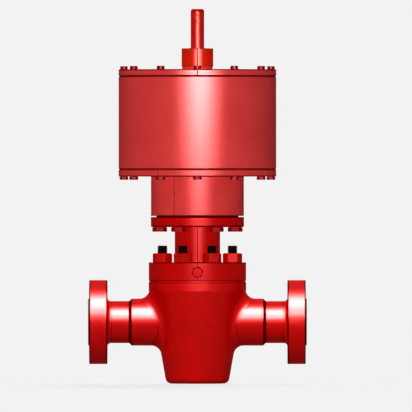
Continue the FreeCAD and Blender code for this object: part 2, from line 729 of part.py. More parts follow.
def make_bonnet_bolting():
    """Studs screwed into the body, and their heavy hexagon nuts."""
    stud = new_form("stud_form")
    reach = "stud_depth + bonnet_flange_thickness + nut_height + stud_rise"
    radius = half("stud_diameter")
    turned(stud, "stud_turn", [
        ("0", "0"), (f"{radius} - stud_chamfer", "0"), (radius, "stud_chamfer"),
        (radius, f"{reach} - stud_chamfer"), (f"{radius} - stud_chamfer", reach), ("0", reach)])
    ring_of("bonnet_studs", stud, "stud_count", STUD_CIRCLE, "180 / stud_count",
            "body_height - stud_depth")
    nut = new_form("nut_form")
    hexagon(nut, "nut_blank", "nut_across_flats", "nut_height")
    corner_cut(nut, "nut_top_corners", "nut_across_flats", "nut_height")
    bored(nut, "nut_bore", "stud_diameter + 2 * thread_clearance", "0", "0", "nut_height",
          offset="nut_height")
    # Each nut stopped where its torque was reached; the turns are from the radial line
    ring_of("bonnet_nuts", nut, "stud_count", STUD_CIRCLE, "180 / stud_count", BONNET_TOP,
            turns=[24, 23, 25, 19, 23.5, 18.5, 24.5, 24])


def make_vent_plug():
    """Hexagon head plug in the front of the bonnet flange."""
    body = new_body("bonnet_vent_plug")
    hexagon(body, "vent_plug_hex", "vent_plug_flats", "vent_plug_head")
    corner_cut(body, "vent_plug_corners", "vent_plug_flats", "vent_plug_head")
    shank = body.newObject("PartDesign::Pad", "vent_plug_shank")
    circle = new_sketch(body, "vent_plug_shank_circle", "XY_Plane")
    circle.addGeometry(Part.Circle(FreeCAD.Vector(), FreeCAD.Vector(0, 0, 1),
                                   number("vent_plug_diameter / 2")))
    circle.addConstraint(Sketcher.Constraint("Coincident", 0, 3, -1, 1))
    row = circle.addConstraint(Sketcher.Constraint("Diameter", 0, number("vent_plug_diameter")))
    circle.setExpression(f"Constraints[{row}]", tied("vent_plug_diameter"))
    shank.Profile = circle
    shank.Reversed = True
    shank.setExpression("Length", tied("vent_plug_length"))
    body.Tip = shank
    outwards = FreeCAD.Rotation(FreeCAD.Vector(1, 0, 0), 90)
    body.Placement.Rotation = outwards.multiply(
        FreeCAD.Rotation(FreeCAD.Vector(0, 0, 1), number("vent_plug_turn")))
    body.setExpression("Placement.Base.y", tied("-bonnet_flange_diameter / 2"))
    body.setExpression("Placement.Base.z", tied("body_height + vent_plug_height"))


def make_packing():
    """Stem packing: two end rings, the chevron rings between them and the gland above."""
    inner = f"{half('stem_diameter')} + running_clearance"
    outer = half("packing_diameter")
    middle = f"({inner} + {outer}) / 2"
    bottom = new_body("packing_bottom_ring")
    turned(bottom, "packing_bottom_turn", [
        (inner, CHAMBER_FLOOR), (outer, CHAMBER_FLOOR), (outer, PACKING_BASE),
        (middle, f"{PACKING_BASE} + packing_groove"), (inner, PACKING_BASE)])
    chevron = new_form("chevron_form")
    turned(chevron, "chevron_turn", [
        (inner, "0"), (middle, "packing_groove"), (outer, "0"), (outer, "packing_ring_height"),
        (middle, "packing_ring_height + packing_groove"), (inner, "packing_ring_height")])
    rings = []
    for index in range(round(number("packing_ring_count"))):
        ring = doc.addObject("App::Link", f"packing_ring_{index + 1}")
        ring.LinkedObject = chevron
        ring.setExpression("Placement.Base.z", tied(f"{PACKING_BASE} + {index} * packing_ring_height"))
        rings.append(ring)
    stack = doc.addObject("Part::Compound", "stem_packing_rings")
    stack.Label = "stem_packing_rings"
    stack.Links = rings
    nodes.append(stack)
    top = new_body("packing_top_ring")
    turned(top, "packing_top_turn", [
        (inner, PACKING_TOP), (middle, f"{PACKING_TOP} + packing_groove"), (outer, PACKING_TOP),
        (outer, FOLLOWER_TOP), (inner, FOLLOWER_TOP)])
    gland = new_body("packing_gland")
    nose = f"{outer} - thread_clearance"
    thread = half("packing_gland_diameter")
    head_top = f"{NECK_END} + packing_gland_head"
    turned(gland, "packing_gland_turn", [
        (inner, FOLLOWER_TOP), (nose, FOLLOWER_TOP), (nose, GLAND_SHOULDER), (thread, GLAND_SHOULDER),
        (thread, head_top), (inner, head_top)])
    bored_circle(gland, "spanner_hole_bore", "spanner_hole", f"{inner} + {thread}", "spanner_hole_count",
                 "0", "spanner_hole_depth", head_top)


def make_adapter():
    """Adapter plate on the bonnet neck, and the six screws up into the spring housing."""
    body = new_body("adapter_plate")
    bore = f"{half('neck_thread_diameter')} + thread_clearance"
    rim = half("adapter_plate_diameter")
    face = half("adapter_face_diameter")
    pilot = half("adapter_pilot_diameter")
    pilot_top = f"{HOUSING_BASE} + adapter_pilot_height"
    turned(body, "adapter_plate_turn", [
        (bore, NECK_TOP), (f"{rim} - adapter_plate_bevel", NECK_TOP),
        (rim, f"{NECK_TOP} + adapter_plate_bevel"), (rim, ADAPTER_TOP), (face, ADAPTER_TOP),
        (face, HOUSING_BASE), (pilot, HOUSING_BASE), (pilot, pilot_top), (bore, pilot_top)])
    through = "adapter_face_height + adapter_plate_thickness + cut_margin"
    bored_circle(body, "adapter_screw_hole", "screw_diameter + screw_hole_play", SCREW_CIRCLE,
                 "screw_count", "0", through, HOUSING_BASE)
    screw = new_form("screw_form")
    hex_screw(screw, "screw_flats", "screw_head", "screw_diameter",
              "adapter_plate_thickness + adapter_face_height + screw_reach")
    ring_of("adapter_screws", screw, "screw_count", SCREW_CIRCLE, "0", f"{NECK_TOP} - screw_head")


def make_spring_housing():
    """Housing tube on its heavy tapped ring, with breather holes through the wall."""
    body = new_body("spring_housing")
    rim = half(HOUSING)
    ring_bore = f"{half('adapter_pilot_diameter')} + running_clearance"
    bore = HOUSING_BORE_RADIUS
    turned(body, "spring_housing_turn", [
        (ring_bore, HOUSING_BASE), (rim, HOUSING_BASE), (rim, HOUSING_TOP), (bore, HOUSING_TOP),
        (bore, RING_TOP), (ring_bore, RING_TOP)])
    depth = "screw_reach + tap_margin"
    bored_circle(body, "housing_screw_hole", "screw_diameter + 2 * thread_clearance", SCREW_CIRCLE,
                 "screw_count", "0", depth, f"{HOUSING_BASE} + {depth}")
    breather = bored(body, "breather_hole", "breather_diameter", "0", f"{RING_TOP} + breather_height",
                     "housing_wall * 2", "XZ_Plane", rim)
    turn_sketch(breather.Profile[0], rim, "breather_turn")
    repeated(body, "breather_holes", breather, "breather_count")


def make_spring_parts():
    """Main spring, its two seats and the sleeve that ends the stroke."""
    guide = f"{half('spring_mean_diameter')} - spring_wire / 2 - spring_guide_play"
    guide_in = f"{guide} - seat_guide_wall"
    bore = HOUSING_BORE_RADIUS
    sleeve = half("sleeve_diameter")
    sleeve_in = f"{sleeve} - sleeve_wall"
    lower = new_body("lower_spring_seat")
    guide_top = f"{LOWER_SEAT_TOP} + seat_guide_height"
    turned(lower, "lower_spring_seat_turn", [
        (sleeve_in, RING_TOP), (f"{bore} - running_clearance", RING_TOP),
        (f"{bore} - running_clearance", LOWER_SEAT_TOP), (guide, LOWER_SEAT_TOP), (guide, guide_top),
        (guide_in, guide_top), (guide_in, LOWER_SEAT_TOP), (sleeve_in, LOWER_SEAT_TOP)])
    ring_piece("travel_stop_sleeve", sleeve_in, sleeve, LOWER_SEAT_TOP, SLEEVE_TOP)
    upper = new_body("spring_upper_seat")
    spigot = f"{half('rod_spigot_diameter')} + thread_clearance"
    guide_low = f"{UPPER_SEAT_BASE} - seat_guide_height"
    turned(upper, "spring_upper_seat_turn", [
        (spigot, UPPER_SEAT_BASE), (guide_in, UPPER_SEAT_BASE), (guide_in, guide_low), (guide, guide_low),
        (guide, UPPER_SEAT_BASE), (half("upper_seat_diameter"), UPPER_SEAT_BASE),
        (half("upper_seat_diameter"), PISTON_BASE), (spigot, PISTON_BASE)])
    make_spring()


def make_spring():
    """Round-wire compression spring with ground ends."""
    bottom = number(LOWER_SEAT_TOP)
    top = number(UPPER_SEAT_BASE)
    wire = number("spring_wire / 2")
    mean = number("spring_mean_diameter / 2")
    grind = number("spring_grind")
    low = bottom + wire - grind
    rise = top - bottom - 2 * (wire - grind)
    coils = number("spring_coils")
    path = Part.makeHelix(rise / coils, rise, mean)
    path.translate(FreeCAD.Vector(0, 0, low))
    start = path.Edges[0].valueAt(path.Edges[0].FirstParameter)
    run = path.Edges[0].tangentAt(path.Edges[0].FirstParameter)
    section = Part.Wire(Part.makeCircle(wire, start, run))
    coil = Part.Wire(path.Edges).makePipeShell([section], True, True)
    slab = Part.makeCylinder(mean + 2 * wire, top - bottom, FreeCAD.Vector(0, 0, bottom))
    spring = doc.addObject("Part::Feature", "main_spring")
    spring.Label = "main_spring"
    spring.Shape = coil.common(slab).Solids[0]
    nodes.append(spring)


def make_cylinder():
    """Bottom plate, barrel and top cover, with their bolts and the cover ring."""
    rim = half("cylinder_diameter")
    barrel_bore = half(CYLINDER_BORE)
    spigot = f"{barrel_bore} - running_clearance"
    plate_bore = HOUSING_BORE_RADIUS
    hole = "cylinder_bolt_diameter + cylinder_bolt_play"
    tapped = "cylinder_bolt_diameter + 2 * thread_clearance"
    tapped_depth = "cylinder_bolt_reach + tap_margin"
    plate = new_body("cylinder_bottom_plate")
    spigot_top = f"{BARREL_BASE} + spigot_height"
    turned(plate, "cylinder_bottom_plate_turn", [
        (plate_bore, HOUSING_TOP), (rim, HOUSING_TOP), (rim, BARREL_BASE), (spigot, BARREL_BASE),
        (spigot, spigot_top), (plate_bore, spigot_top)])
    dressed(plate, "bottom_plate_bevel", "Chamfer", "joint_bevel", [(rim, BARREL_BASE)])
    bored_circle(plate, "bottom_plate_hole", hole, CYLINDER_BOLT_CIRCLE, "cylinder_bolt_count", "0",
                 "bottom_plate_thickness", BARREL_BASE)
    barrel = new_body("cylinder_barrel")
    turned(barrel, "cylinder_barrel_turn", [
        (barrel_bore, BARREL_BASE), (rim, BARREL_BASE), (rim, BARREL_TOP), (barrel_bore, BARREL_TOP)])
    dressed(barrel, "barrel_bevels", "Chamfer", "joint_bevel", [(rim, BARREL_BASE), (rim, BARREL_TOP)])
    bored_circle(barrel, "barrel_top_hole", tapped, CYLINDER_BOLT_CIRCLE, "cylinder_bolt_count", "0",
                 tapped_depth, BARREL_TOP)
    bored_circle(barrel, "barrel_base_hole", tapped, CYLINDER_BOLT_CIRCLE, "cylinder_bolt_count", "0",
                 tapped_depth, f"{BARREL_BASE} + {tapped_depth}")
    make_cover(rim, spigot, hole)
    bolt = new_form("plate_bolt_form")
    hex_screw(bolt, "plate_bolt_flats", "plate_bolt_head", "cylinder_bolt_diameter",
              "bottom_plate_thickness + cylinder_bolt_reach")
    ring_of("bottom_plate_bolts", bolt, "cylinder_bolt_count", CYLINDER_BOLT_CIRCLE, "0",
            f"{HOUSING_TOP} - plate_bolt_head", turns=[0, 30])


def make_cover(rim, spigot, hole):
    """Top cover with its gland boss, ring groove and air supply port, and its socket bolts."""
    cover = new_body("top_cover")
    thread = f"{half('gland_thread_diameter')} + thread_clearance"
    boss = half("cover_boss_diameter")
    ring_floor = f"{spigot} - cover_ring_section"
    groove_low = f"{SPIGOT_FACE} + cover_ring_land"
    groove_high = f"{groove_low} + cover_ring_section"
    turned(cover, "top_cover_turn", [
        (thread, SPIGOT_FACE), (spigot, SPIGOT_FACE), (spigot, groove_low), (ring_floor, groove_low),
        (ring_floor, groove_high), (spigot, groove_high), (spigot, BARREL_TOP), (rim, BARREL_TOP),
        (rim, COVER_TOP), (boss, COVER_TOP), (boss, BOSS_TOP), (thread, BOSS_TOP)])
    dressed(cover, "cover_bevel", "Chamfer", "joint_bevel", [(rim, BARREL_TOP)])
    bored_circle(cover, "cover_hole", hole, CYLINDER_BOLT_CIRCLE, "cylinder_bolt_count", "0",
                 "cover_thickness", COVER_TOP)
    port_boss = new_sketch(cover, "supply_boss_circle", "XY_Plane", COVER_TOP)
    centre = FreeCAD.Vector(0, number("supply_port_radius"), 0)
    port_boss.addGeometry(Part.Circle(centre, FreeCAD.Vector(0, 0, 1), number("supply_boss_diameter / 2")))
    place_points(port_boss, [(0, 3, "0", "supply_port_radius")])
    row = port_boss.addConstraint(Sketcher.Constraint("Diameter", 0, number("supply_boss_diameter")))
    port_boss.setExpression(f"Constraints[{row}]", tied("supply_boss_diameter"))
    pad = cover.newObject("PartDesign::Pad", "supply_boss")
    pad.Profile = port_boss
    pad.setExpression("Length", tied("supply_boss_height"))
    cover.Tip = pad
    bored(cover, "supply_port", "supply_port_diameter", "0", "supply_port_radius",
          "supply_boss_height + cover_thickness + spigot_height + cut_margin",
          offset=f"{COVER_TOP} + supply_boss_height")
    section = "cover_ring_section / 2"
    ring = primitive("Torus", "cover_o_ring", Radius1=f"{spigot} - {section}", Radius2=section,
                     Placement_Base_z=f"{groove_low} + {section}")
    ring.Label = "cover_o_ring"
    nodes.append(ring)
    bolt = new_form("cover_bolt_form")
    head = half("cover_bolt_head_diameter")
    shank = half("cylinder_bolt_diameter")
    grip = "cover_thickness + cylinder_bolt_reach"
    top = f"{grip} + cover_bolt_head"
    turned(bolt, "cover_bolt_turn", [("0", "0"), (shank, "0"), (shank, grip), (head, grip), (head, top),
                                     ("0", top)])
    hexagon(bolt, "cover_bolt_socket", "cover_bolt_key", "cover_bolt_key_depth", base=top, cut=True)
    ring_of("cover_bolts", bolt, "cylinder_bolt_count", CYLINDER_BOLT_CIRCLE, "0",
            f"{BARREL_TOP} - cylinder_bolt_reach")


def make_rod_gland():
    """Screwed gland on the cover boss, with its seals and wiper round the rod."""
    body = new_body("rod_gland")
    way = f"{half('rod_diameter')} + running_clearance"
    rim = half("gland_diameter")
    thread = half("gland_thread_diameter")
    floor = f"{way} + rod_seal_section"
    wiper_floor = f"{way} + wiper_section"
    lows = [f"{BOSS_TOP} + rod_seal_low", f"{BOSS_TOP} + rod_seal_high"]
    corners = [(way, f"{BOSS_TOP} - gland_thread_length"), (thread, f"{BOSS_TOP} - gland_thread_length"),
               (thread, BOSS_TOP), (rim, BOSS_TOP), (rim, GLAND_TOP), (wiper_floor, GLAND_TOP),
               (wiper_floor, f"{GLAND_TOP} - wiper_height"), (way, f"{GLAND_TOP} - wiper_height")]
    for low in reversed(lows):
        high = f"{low} + rod_seal_height"
        corners += [(way, high), (floor, high), (floor, low), (way, low)]
    turned(body, "rod_gland_turn", corners)
    dressed(body, "rod_gland_rounding", "Fillet", "gland_rounding", [(rim, BOSS_TOP), (rim, GLAND_TOP)])
    form = new_form("rod_seal_form")
    turned(form, "rod_seal_turn", [(way, "0"), (floor, "0"), (floor, "rod_seal_height"),
                                   (way, "rod_seal_height")])
    seals = []
    for index, low in enumerate(lows, start=1):
        seal = doc.addObject("App::Link", f"rod_seal_{index}")
        seal.LinkedObject = form
        seal.setExpression("Placement.Base.z", tied(low))
        seals.append(seal)
    group = doc.addObject("Part::Compound", "rod_seals")
    group.Label = "rod_seals"
    group.Links = seals
    nodes.append(group)
    wiper = new_body("rod_wiper")
    base = f"{GLAND_TOP} - wiper_height"
    lip = f"{GLAND_TOP} + wiper_lip"
    turned(wiper, "rod_wiper_turn", [(way, base), (wiper_floor, base), (wiper_floor, GLAND_TOP),
                                     (f"{way} + wiper_lip", lip), (way, lip)])


def make_moving_train():
    """Indicator rod, piston with its rings, lock nut, coupling and valve stem."""
    rod = new_body("indicator_rod")
    radius = half("rod_diameter")
    spigot = half("rod_spigot_diameter")
    rod_low = f"{COUPLING_TOP} - rod_thread_length"
    turned(rod, "indicator_rod_turn", [
        ("0", rod_low), (spigot, rod_low), (spigot, PISTON_TOP), (radius, PISTON_TOP),
        (radius, f"{ROD_TOP} - rod_tip_rise"), (f"{radius} - rod_tip_bevel", ROD_TOP), ("0", ROD_TOP)])
    make_piston(spigot, radius)
    fit = f"{spigot} + thread_clearance"
    nut = new_body("piston_lock_nut")
    hexagon(nut, "lock_nut_blank", "lock_nut_flats", "lock_nut_height", base=COUPLING_TOP)
    corner_cut(nut, "lock_nut_low_corners", "lock_nut_flats", COUPLING_TOP, at_base=True)
    bored(nut, "lock_nut_bore", f"2 * ({fit})", "0", "0", "lock_nut_height",
          offset=f"{COUPLING_TOP} + lock_nut_height")
    coupling = new_body("stem_coupling")
    outer = half("coupling_diameter")
    stem_fit = f"{half('stem_thread_diameter')} + thread_clearance"
    middle = f"{COUPLING_TOP} - rod_thread_length"
    turned(coupling, "stem_coupling_turn", [
        (stem_fit, COUPLING_BASE), (outer, COUPLING_BASE), (outer, COUPLING_TOP), (fit, COUPLING_TOP),
        (fit, middle), (stem_fit, middle)])
    dressed(coupling, "coupling_bevels", "Chamfer", "coupling_bevel",
            [(outer, COUPLING_BASE), (outer, COUPLING_TOP)])
    stem = new_body("valve_stem")
    shaft = half("stem_diameter")
    head = half("stem_head_diameter")
    collar = half("collar_diameter")
    threaded = half("stem_thread_diameter")
    stem_top = f"{COUPLING_BASE} + stem_thread_length"
    turned(stem, "valve_stem_turn", [
        ("0", HEAD_BASE), (head, HEAD_BASE), (head, HEAD_TOP), (shaft, HEAD_TOP), (shaft, COLLAR_BASE),
        (collar, COLLAR_BASE), (collar, COLLAR_TOP), (shaft, COLLAR_TOP), (shaft, COUPLING_BASE),
        (threaded, COUPLING_BASE), (threaded, stem_top), ("0", stem_top)])


def make_piston(spigot, radius):
    """Piston disc with a hub, and grooves that hold its seal and wear ring."""
    body = new_body("piston")
    bore = half(CYLINDER_BORE)
    rim = f"{bore} - 2 * running_clearance"
    hub = half("piston_hub_diameter")
    ring_rim = f"{bore} - running_clearance"
    seal_floor = f"{ring_rim} - piston_seal_section"
    wear_floor = f"{ring_rim} - wear_ring_section"
    seal_high = f"{PISTON_TOP} - piston_seal_land"
    seal_low = f"{seal_high} - piston_seal_height"
    wear_low = f"{PISTON_BASE} + wear_ring_land"
    wear_high = f"{wear_low} + wear_ring_height"
    fit = f"{spigot} + thread_clearance"
    seat = f"{radius} + thread_clearance"
    turned(body, "piston_turn", [
        (fit, PISTON_BASE), (rim, PISTON_BASE), (rim, wear_low), (wear_floor, wear_low),
        (wear_floor, wear_high), (rim, wear_high), (rim, seal_low), (seal_floor, seal_low),
        (seal_floor, seal_high), (rim, seal_high), (rim, PISTON_TOP), (hub, PISTON_TOP), (hub, HUB_TOP),
        (seat, HUB_TOP), (seat, PISTON_TOP), (fit, PISTON_TOP)])
    ring_piece("piston_seal", seal_floor, ring_rim, seal_low, seal_high)
    ring_piece("piston_wear_ring", wear_floor, ring_rim, wear_low, wear_high)


def build():
    """Makes every node, from the flow line up."""
    make_valve_body()
    for side in ("inlet", "outlet"):
        make_end_flange(side)
        make_seat(side)
    make_gate()
    for side in ("front", "rear"):
        make_gate_guide(side)
    make_bonnet()
    make_gasket()
    make_bonnet_bolting()
    make_vent_plug()
    make_packing()
    make_adapter()
    make_spring_housing()
    make_spring_parts()
    make_cylinder()
    make_rod_gland()
    make_moving_train()
    doc.recompute()


def check():
    """Stops before anything is written if an object or a node's shape is bad."""
    bad = [item.Label for item in doc.Objects if {"Invalid", "Error"} & set(item.State)]
    bad += [item.Label for item in nodes if item.Shape.isNull() or not item.Shape.isValid()]
    if bad:
        raise RuntimeError("these did not come out well: " + ", ".join(bad))


build()
check()
os.makedirs("parts", exist_ok=True)
for piece in nodes:
    piece.Shape.exportStep(os.path.join("parts", piece.Label + ".step"))
    print(f"{piece.Label}: {len(piece.Shape.Solids)} solid(s), {piece.Shape.Volume / 1000:.1f} cm3")
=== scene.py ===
import json
import math

import bmesh
import bpy
import numpy as np
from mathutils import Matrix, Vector

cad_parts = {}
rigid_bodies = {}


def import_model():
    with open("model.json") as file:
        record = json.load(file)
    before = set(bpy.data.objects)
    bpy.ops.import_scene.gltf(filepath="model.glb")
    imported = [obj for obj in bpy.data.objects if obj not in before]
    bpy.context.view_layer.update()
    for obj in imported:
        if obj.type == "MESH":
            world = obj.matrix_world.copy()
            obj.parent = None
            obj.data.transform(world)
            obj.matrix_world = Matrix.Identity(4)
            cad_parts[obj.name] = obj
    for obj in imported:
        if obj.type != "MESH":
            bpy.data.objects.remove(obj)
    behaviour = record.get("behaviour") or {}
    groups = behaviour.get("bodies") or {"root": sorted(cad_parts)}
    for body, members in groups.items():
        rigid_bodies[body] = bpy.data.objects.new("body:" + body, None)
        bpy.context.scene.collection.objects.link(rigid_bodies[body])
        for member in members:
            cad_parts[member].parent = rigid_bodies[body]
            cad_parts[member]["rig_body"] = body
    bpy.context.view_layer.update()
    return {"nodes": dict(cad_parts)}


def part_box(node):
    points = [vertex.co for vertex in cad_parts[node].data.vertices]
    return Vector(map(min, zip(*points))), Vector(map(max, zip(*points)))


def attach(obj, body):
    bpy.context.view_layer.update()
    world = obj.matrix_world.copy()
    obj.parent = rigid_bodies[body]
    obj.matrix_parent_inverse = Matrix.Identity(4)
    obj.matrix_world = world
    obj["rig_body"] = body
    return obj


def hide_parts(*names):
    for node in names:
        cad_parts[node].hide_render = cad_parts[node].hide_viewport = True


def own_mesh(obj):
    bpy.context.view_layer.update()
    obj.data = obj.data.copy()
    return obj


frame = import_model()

# Looks of the surface safety valve over its CAD frame. Lengths are metres, +Z runs up the stem,
# +X towards the outlet and -Y is the front; a name that ends in _mm is in millimetres.
nodes = frame["nodes"]
MM = 0.001


# Where things stand, read from the CAD nodes
def base_of(node):
    """Height of a node's lowest point."""
    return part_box(node)[0].z


def top_of(node):
    """Height of a node's highest point."""
    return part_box(node)[1].z


def reach_of(node):
    """Largest distance of a round node from the stem line, along X."""
    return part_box(node)[1].x


# Actuator, from the rod down to the adapter plate
ROD_TOP = top_of("indicator_rod")
ROD_RADIUS = reach_of("indicator_rod")
ROD_TIP_RISE = 5.0 * MM
ROD_TIP_BEVEL = 2.0 * MM
GLAND_TOP = top_of("rod_gland")
GLAND_RADIUS = reach_of("rod_gland")
CYLINDER_RADIUS = reach_of("cylinder_barrel")
BARREL_BASE = base_of("cylinder_barrel")
BARREL_TOP = top_of("cylinder_barrel")
COVER_TOP = BARREL_TOP + 16.4 * MM
BOSS_TOP = COVER_TOP + 7.1 * MM
BOSS_RADIUS = 36.4 * MM
BOLT_CIRCLE = 175.2 * MM
PLATE_BASE = base_of("cylinder_bottom_plate")
HOUSING_RADIUS = reach_of("spring_housing")
HOUSING_BASE = base_of("spring_housing")
HOUSING_WALL_MIDDLE = HOUSING_RADIUS - 5.6 * MM
BREATHER_HEIGHT = HOUSING_BASE + 52.4 * MM
ADAPTER_RADIUS = reach_of("adapter_plate")
ADAPTER_BASE = base_of("adapter_plate")
ADAPTER_BEVEL = 2.5 * MM
ADAPTER_TOP = ADAPTER_BASE + 22.9 * MM
FACE_RADIUS = 84.5 * MM
SLOT_MIDDLE = ADAPTER_TOP + 2.4 * MM
SLOT_TRIM = 1.0 * MM
SCREW_CIRCLE = 89.9 * MM

# Pressure part: bonnet, body, stubs and end flanges
BONNET_RADIUS = reach_of("bonnet")
BONNET_TOP = base_of("bonnet_nuts")
NECK_RADIUS = 54.0 * MM
NECK_EASE = 1.0 * MM
PLUG_HEIGHT = (base_of("bonnet_vent_plug") + top_of("bonnet_vent_plug")) / 2
PLUG_HEAD = 9.0 * MM
PLUG_RIM = 13.6 * MM
STUD_TOP = top_of("bonnet_studs")
STUD_BASE = base_of("bonnet_studs")
STUD_CIRCLE = 90.3 * MM
JOINT = base_of("bonnet")
JOINT_STEP = 2.4 * MM
BODY_RIM = 116.25 * MM
BODY_RIM_BASE = JOINT - 24.7 * MM
BOWL_RADIUS = 74.0 * MM
BOWL_DRAFT = math.radians(10)
FLOW_AXIS = (base_of("outlet_flange") + top_of("outlet_flange")) / 2
STUB_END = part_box("outlet_flange")[0].x
STUB_RADIUS = 56.0 * MM
STUB_BEVEL = 6.0 * MM
STUB_FILLET = 24.0 * MM
HUB_RADIUS = STUB_RADIUS - STUB_BEVEL
FLANGE_RADIUS = (top_of("outlet_flange") - base_of("outlet_flange")) / 2
FLANGE_BACK = 214.6 * MM
FLANGE_FACE = 257.85 * MM
HUB_LINE = FLANGE_BACK - 9.6 * MM
RAISED_RADIUS = 55.55 * MM
RAISED_MIDDLE = FLANGE_FACE + 1.4 * MM


# Colour and node tools
def linear(hex_colour):
    """Turns an sRGB hex colour to the linear colour that shaders use."""
    parts = [int(hex_colour[i:i + 2], 16) / 255 for i in (0, 2, 4)]
    curve = [c / 12.92 if c <= 0.04045 else ((c + 0.055) / 1.055) ** 2.4 for c in parts]
    return (*curve, 1.0)


def add(tree, kind, inputs=(), settings=()):
    """Adds a node, with its settings, values and links."""
    node = tree.nodes.new("ShaderNode" + kind)
    for name, value in dict(settings).items():
        setattr(node, name, value)
    for name, value in dict(inputs).items():
        if isinstance(value, bpy.types.NodeSocket):
            tree.links.new(value, node.inputs[name])
        else:
            node.inputs[name].default_value = value
    return node


def new_finish(name):
    """Starts a material, and gives its tree, its shader and the Object coordinates."""
    material = bpy.data.materials.new(name)
    material.use_nodes = True
    tree = material.node_tree
    shader = tree.nodes["Principled BSDF"]
    place = add(tree, "TexCoord").outputs["Object"]
    return material, tree, shader, place


def drift(tree, place, size_mm, low, high):
    """A value that drifts between two ends, over lumps of a real size: the middle third of a noise,
    spread over the whole range."""
    lumps = add(tree, "TexNoise", {"Vector": place, "Scale": 1 / (size_mm * MM), "Detail": 2.0})
    ends = {"From Min": 0.33, "From Max": 0.67, "To Min": low, "To Max": high}
    return add(tree, "MapRange", {"Value": lumps.outputs["Fac"], **ends}).outputs["Result"]


def two_tone(tree, place, size_mm, first, second):
    """A colour that drifts between two hex colours; the Mix node's colours are its sockets 6 and 7."""
    share = drift(tree, place, size_mm, 0.0, 1.0)
    colours = {0: share, 6: linear(first), 7: linear(second)}
    return add(tree, "Mix", colours, {"data_type": "RGBA"}).outputs[2]


def relief(tree, shader, place, lumps):
    """Chains the bumps of noises; lumps are (size in mm, detail, depth in mm)."""
    below = {}
    for size_mm, detail, depth_mm in lumps:
        noise = add(tree, "TexNoise", {"Vector": place, "Scale": 1 / (size_mm * MM), "Detail": detail})
        bump = add(tree, "Bump", {"Height": noise.outputs["Fac"], "Distance": depth_mm * MM,
                                  "Strength": 1.0, **below})
        below = {"Normal": bump.outputs["Normal"]}
    for socket in ("Normal", "Coat Normal"):
        tree.links.new(bump.outputs["Normal"], shader.inputs[socket])


# Fine dark lines: a round axis has the coordinates across, up and along it, and its height
AXES = {
    "stem": ("X", "Y", "Z", 0.0),
    "plug": ("X", "Z", "Y", PLUG_HEIGHT),
    "flow": ("Y", "Z", "X", FLOW_AXIS),
}


def saddle_gap(tree, split, along, radius):
    """Distance from the line where the stubs' fillets begin. A ball of the fillet's radius b, rolled
    between a stub of radius s and a bowl of radius r(z), touches the stub where
    |x| = sqrt((r(z') + b / cos draft)^2 - (k y)^2), with k = (s + b) / s and z' = axis + k (z - axis).
    Off the stub the distance is that from the stub's wall."""
    k = (STUB_RADIUS + STUB_FILLET) / STUB_RADIUS
    slope = math.tan(BOWL_DRAFT)
    level = BOWL_RADIUS + FLOW_AXIS * slope * (1 - k) + STUB_FILLET / math.cos(BOWL_DRAFT)
    widening = {0: split["Z"], 1: k * slope, 2: level}
    reach = add(tree, "Math", widening, {"operation": "MULTIPLY_ADD"}).outputs[0]
    side = add(tree, "Math", {0: split["Y"], 1: k}, {"operation": "MULTIPLY"}).outputs[0]
    squares = [add(tree, "Math", {0: length, 1: length}, {"operation": "MULTIPLY"}).outputs[0]
               for length in (reach, side)]
    line = add(tree, "Math", dict(enumerate(squares)), {"operation": "SUBTRACT"}).outputs[0]
    line = add(tree, "Math", {0: line}, {"operation": "SQRT"}).outputs[0]
    gap = add(tree, "Math", {0: along, 1: line}, {"operation": "SUBTRACT"}).outputs[0]
    gap = add(tree, "Math", {0: gap}, {"operation": "ABSOLUTE"}).outputs[0]
    above = add(tree, "Math", {0: radius, 1: STUB_RADIUS}, {"operation": "SUBTRACT"}).outputs[0]
    return add(tree, "Math", {0: gap, 1: above}, {"operation": "MAXIMUM"}).outputs[0]


def thin_lines(tree, place, rims, seams, saddle_mm):
    """Share of the dark lines near round rims (axis, radius, level, half width in mm), upright seams
    (x, y, half width in mm) and the saddles, by their half width. Each is the distance of a point from
    the rim's circle, in the plane of radius and level, or from the seam in plan, over its half width;
    the least of them is turned to soft-edged lines. A level counts on both sides of the valve."""
    split = add(tree, "SeparateXYZ", {"Vector": place}).outputs
    radial, gaps = {}, []
    for axis in sorted({rim[0] for rim in rims}):
        across, up, along, height = AXES[axis]
        rise = add(tree, "Math", {0: split[up], 1: height}, {"operation": "SUBTRACT"}).outputs[0]
        plan = add(tree, "CombineXYZ", {"X": split[across], "Y": rise}).outputs["Vector"]
        radius = add(tree, "VectorMath", {0: plan}, {"operation": "LENGTH"}).outputs["Value"]
        level = add(tree, "Math", {0: split[along]}, {"operation": "ABSOLUTE"}).outputs[0]
        radial[axis] = add(tree, "CombineXYZ", {"X": radius, "Y": level}).outputs["Vector"]
        if saddle_mm and axis == "flow":
            gaps.append((saddle_gap(tree, split, level, radius), saddle_mm))
    spots = [(radial[axis], (radius, level, 0.0), half_mm) for axis, radius, level, half_mm in rims]
    if seams:
        plan = add(tree, "CombineXYZ", {"X": split["X"], "Y": split["Y"]}).outputs["Vector"]
        spots += [(plan, (across, ahead, 0.0), half_mm) for across, ahead, half_mm in seams]
    for where, spot, half_mm in spots:
        gap = add(tree, "VectorMath", {0: where, 1: spot}, {"operation": "DISTANCE"}).outputs["Value"]
        gaps.append((gap, half_mm))
    nearest = None
    for gap, half_mm in gaps:
        width = add(tree, "Math", {0: gap, 1: half_mm * MM}, {"operation": "DIVIDE"}).outputs[0]
        if nearest is not None:
            width = add(tree, "Math", {0: nearest, 1: width}, {"operation": "MINIMUM"}).outputs[0]
        nearest = width
    return add(tree, "MapRange", {"Value": nearest, "From Min": 1.2, "From Max": 0.8}).outputs["Result"]


# Painted finishes: orange peel, and a casting's grain, as (size in mm, detail, depth in mm)
PEEL = ((4, 2.0, 0.02),)
SAND = ((18, 2.0, 0.05), (3, 4.0, 0.02))

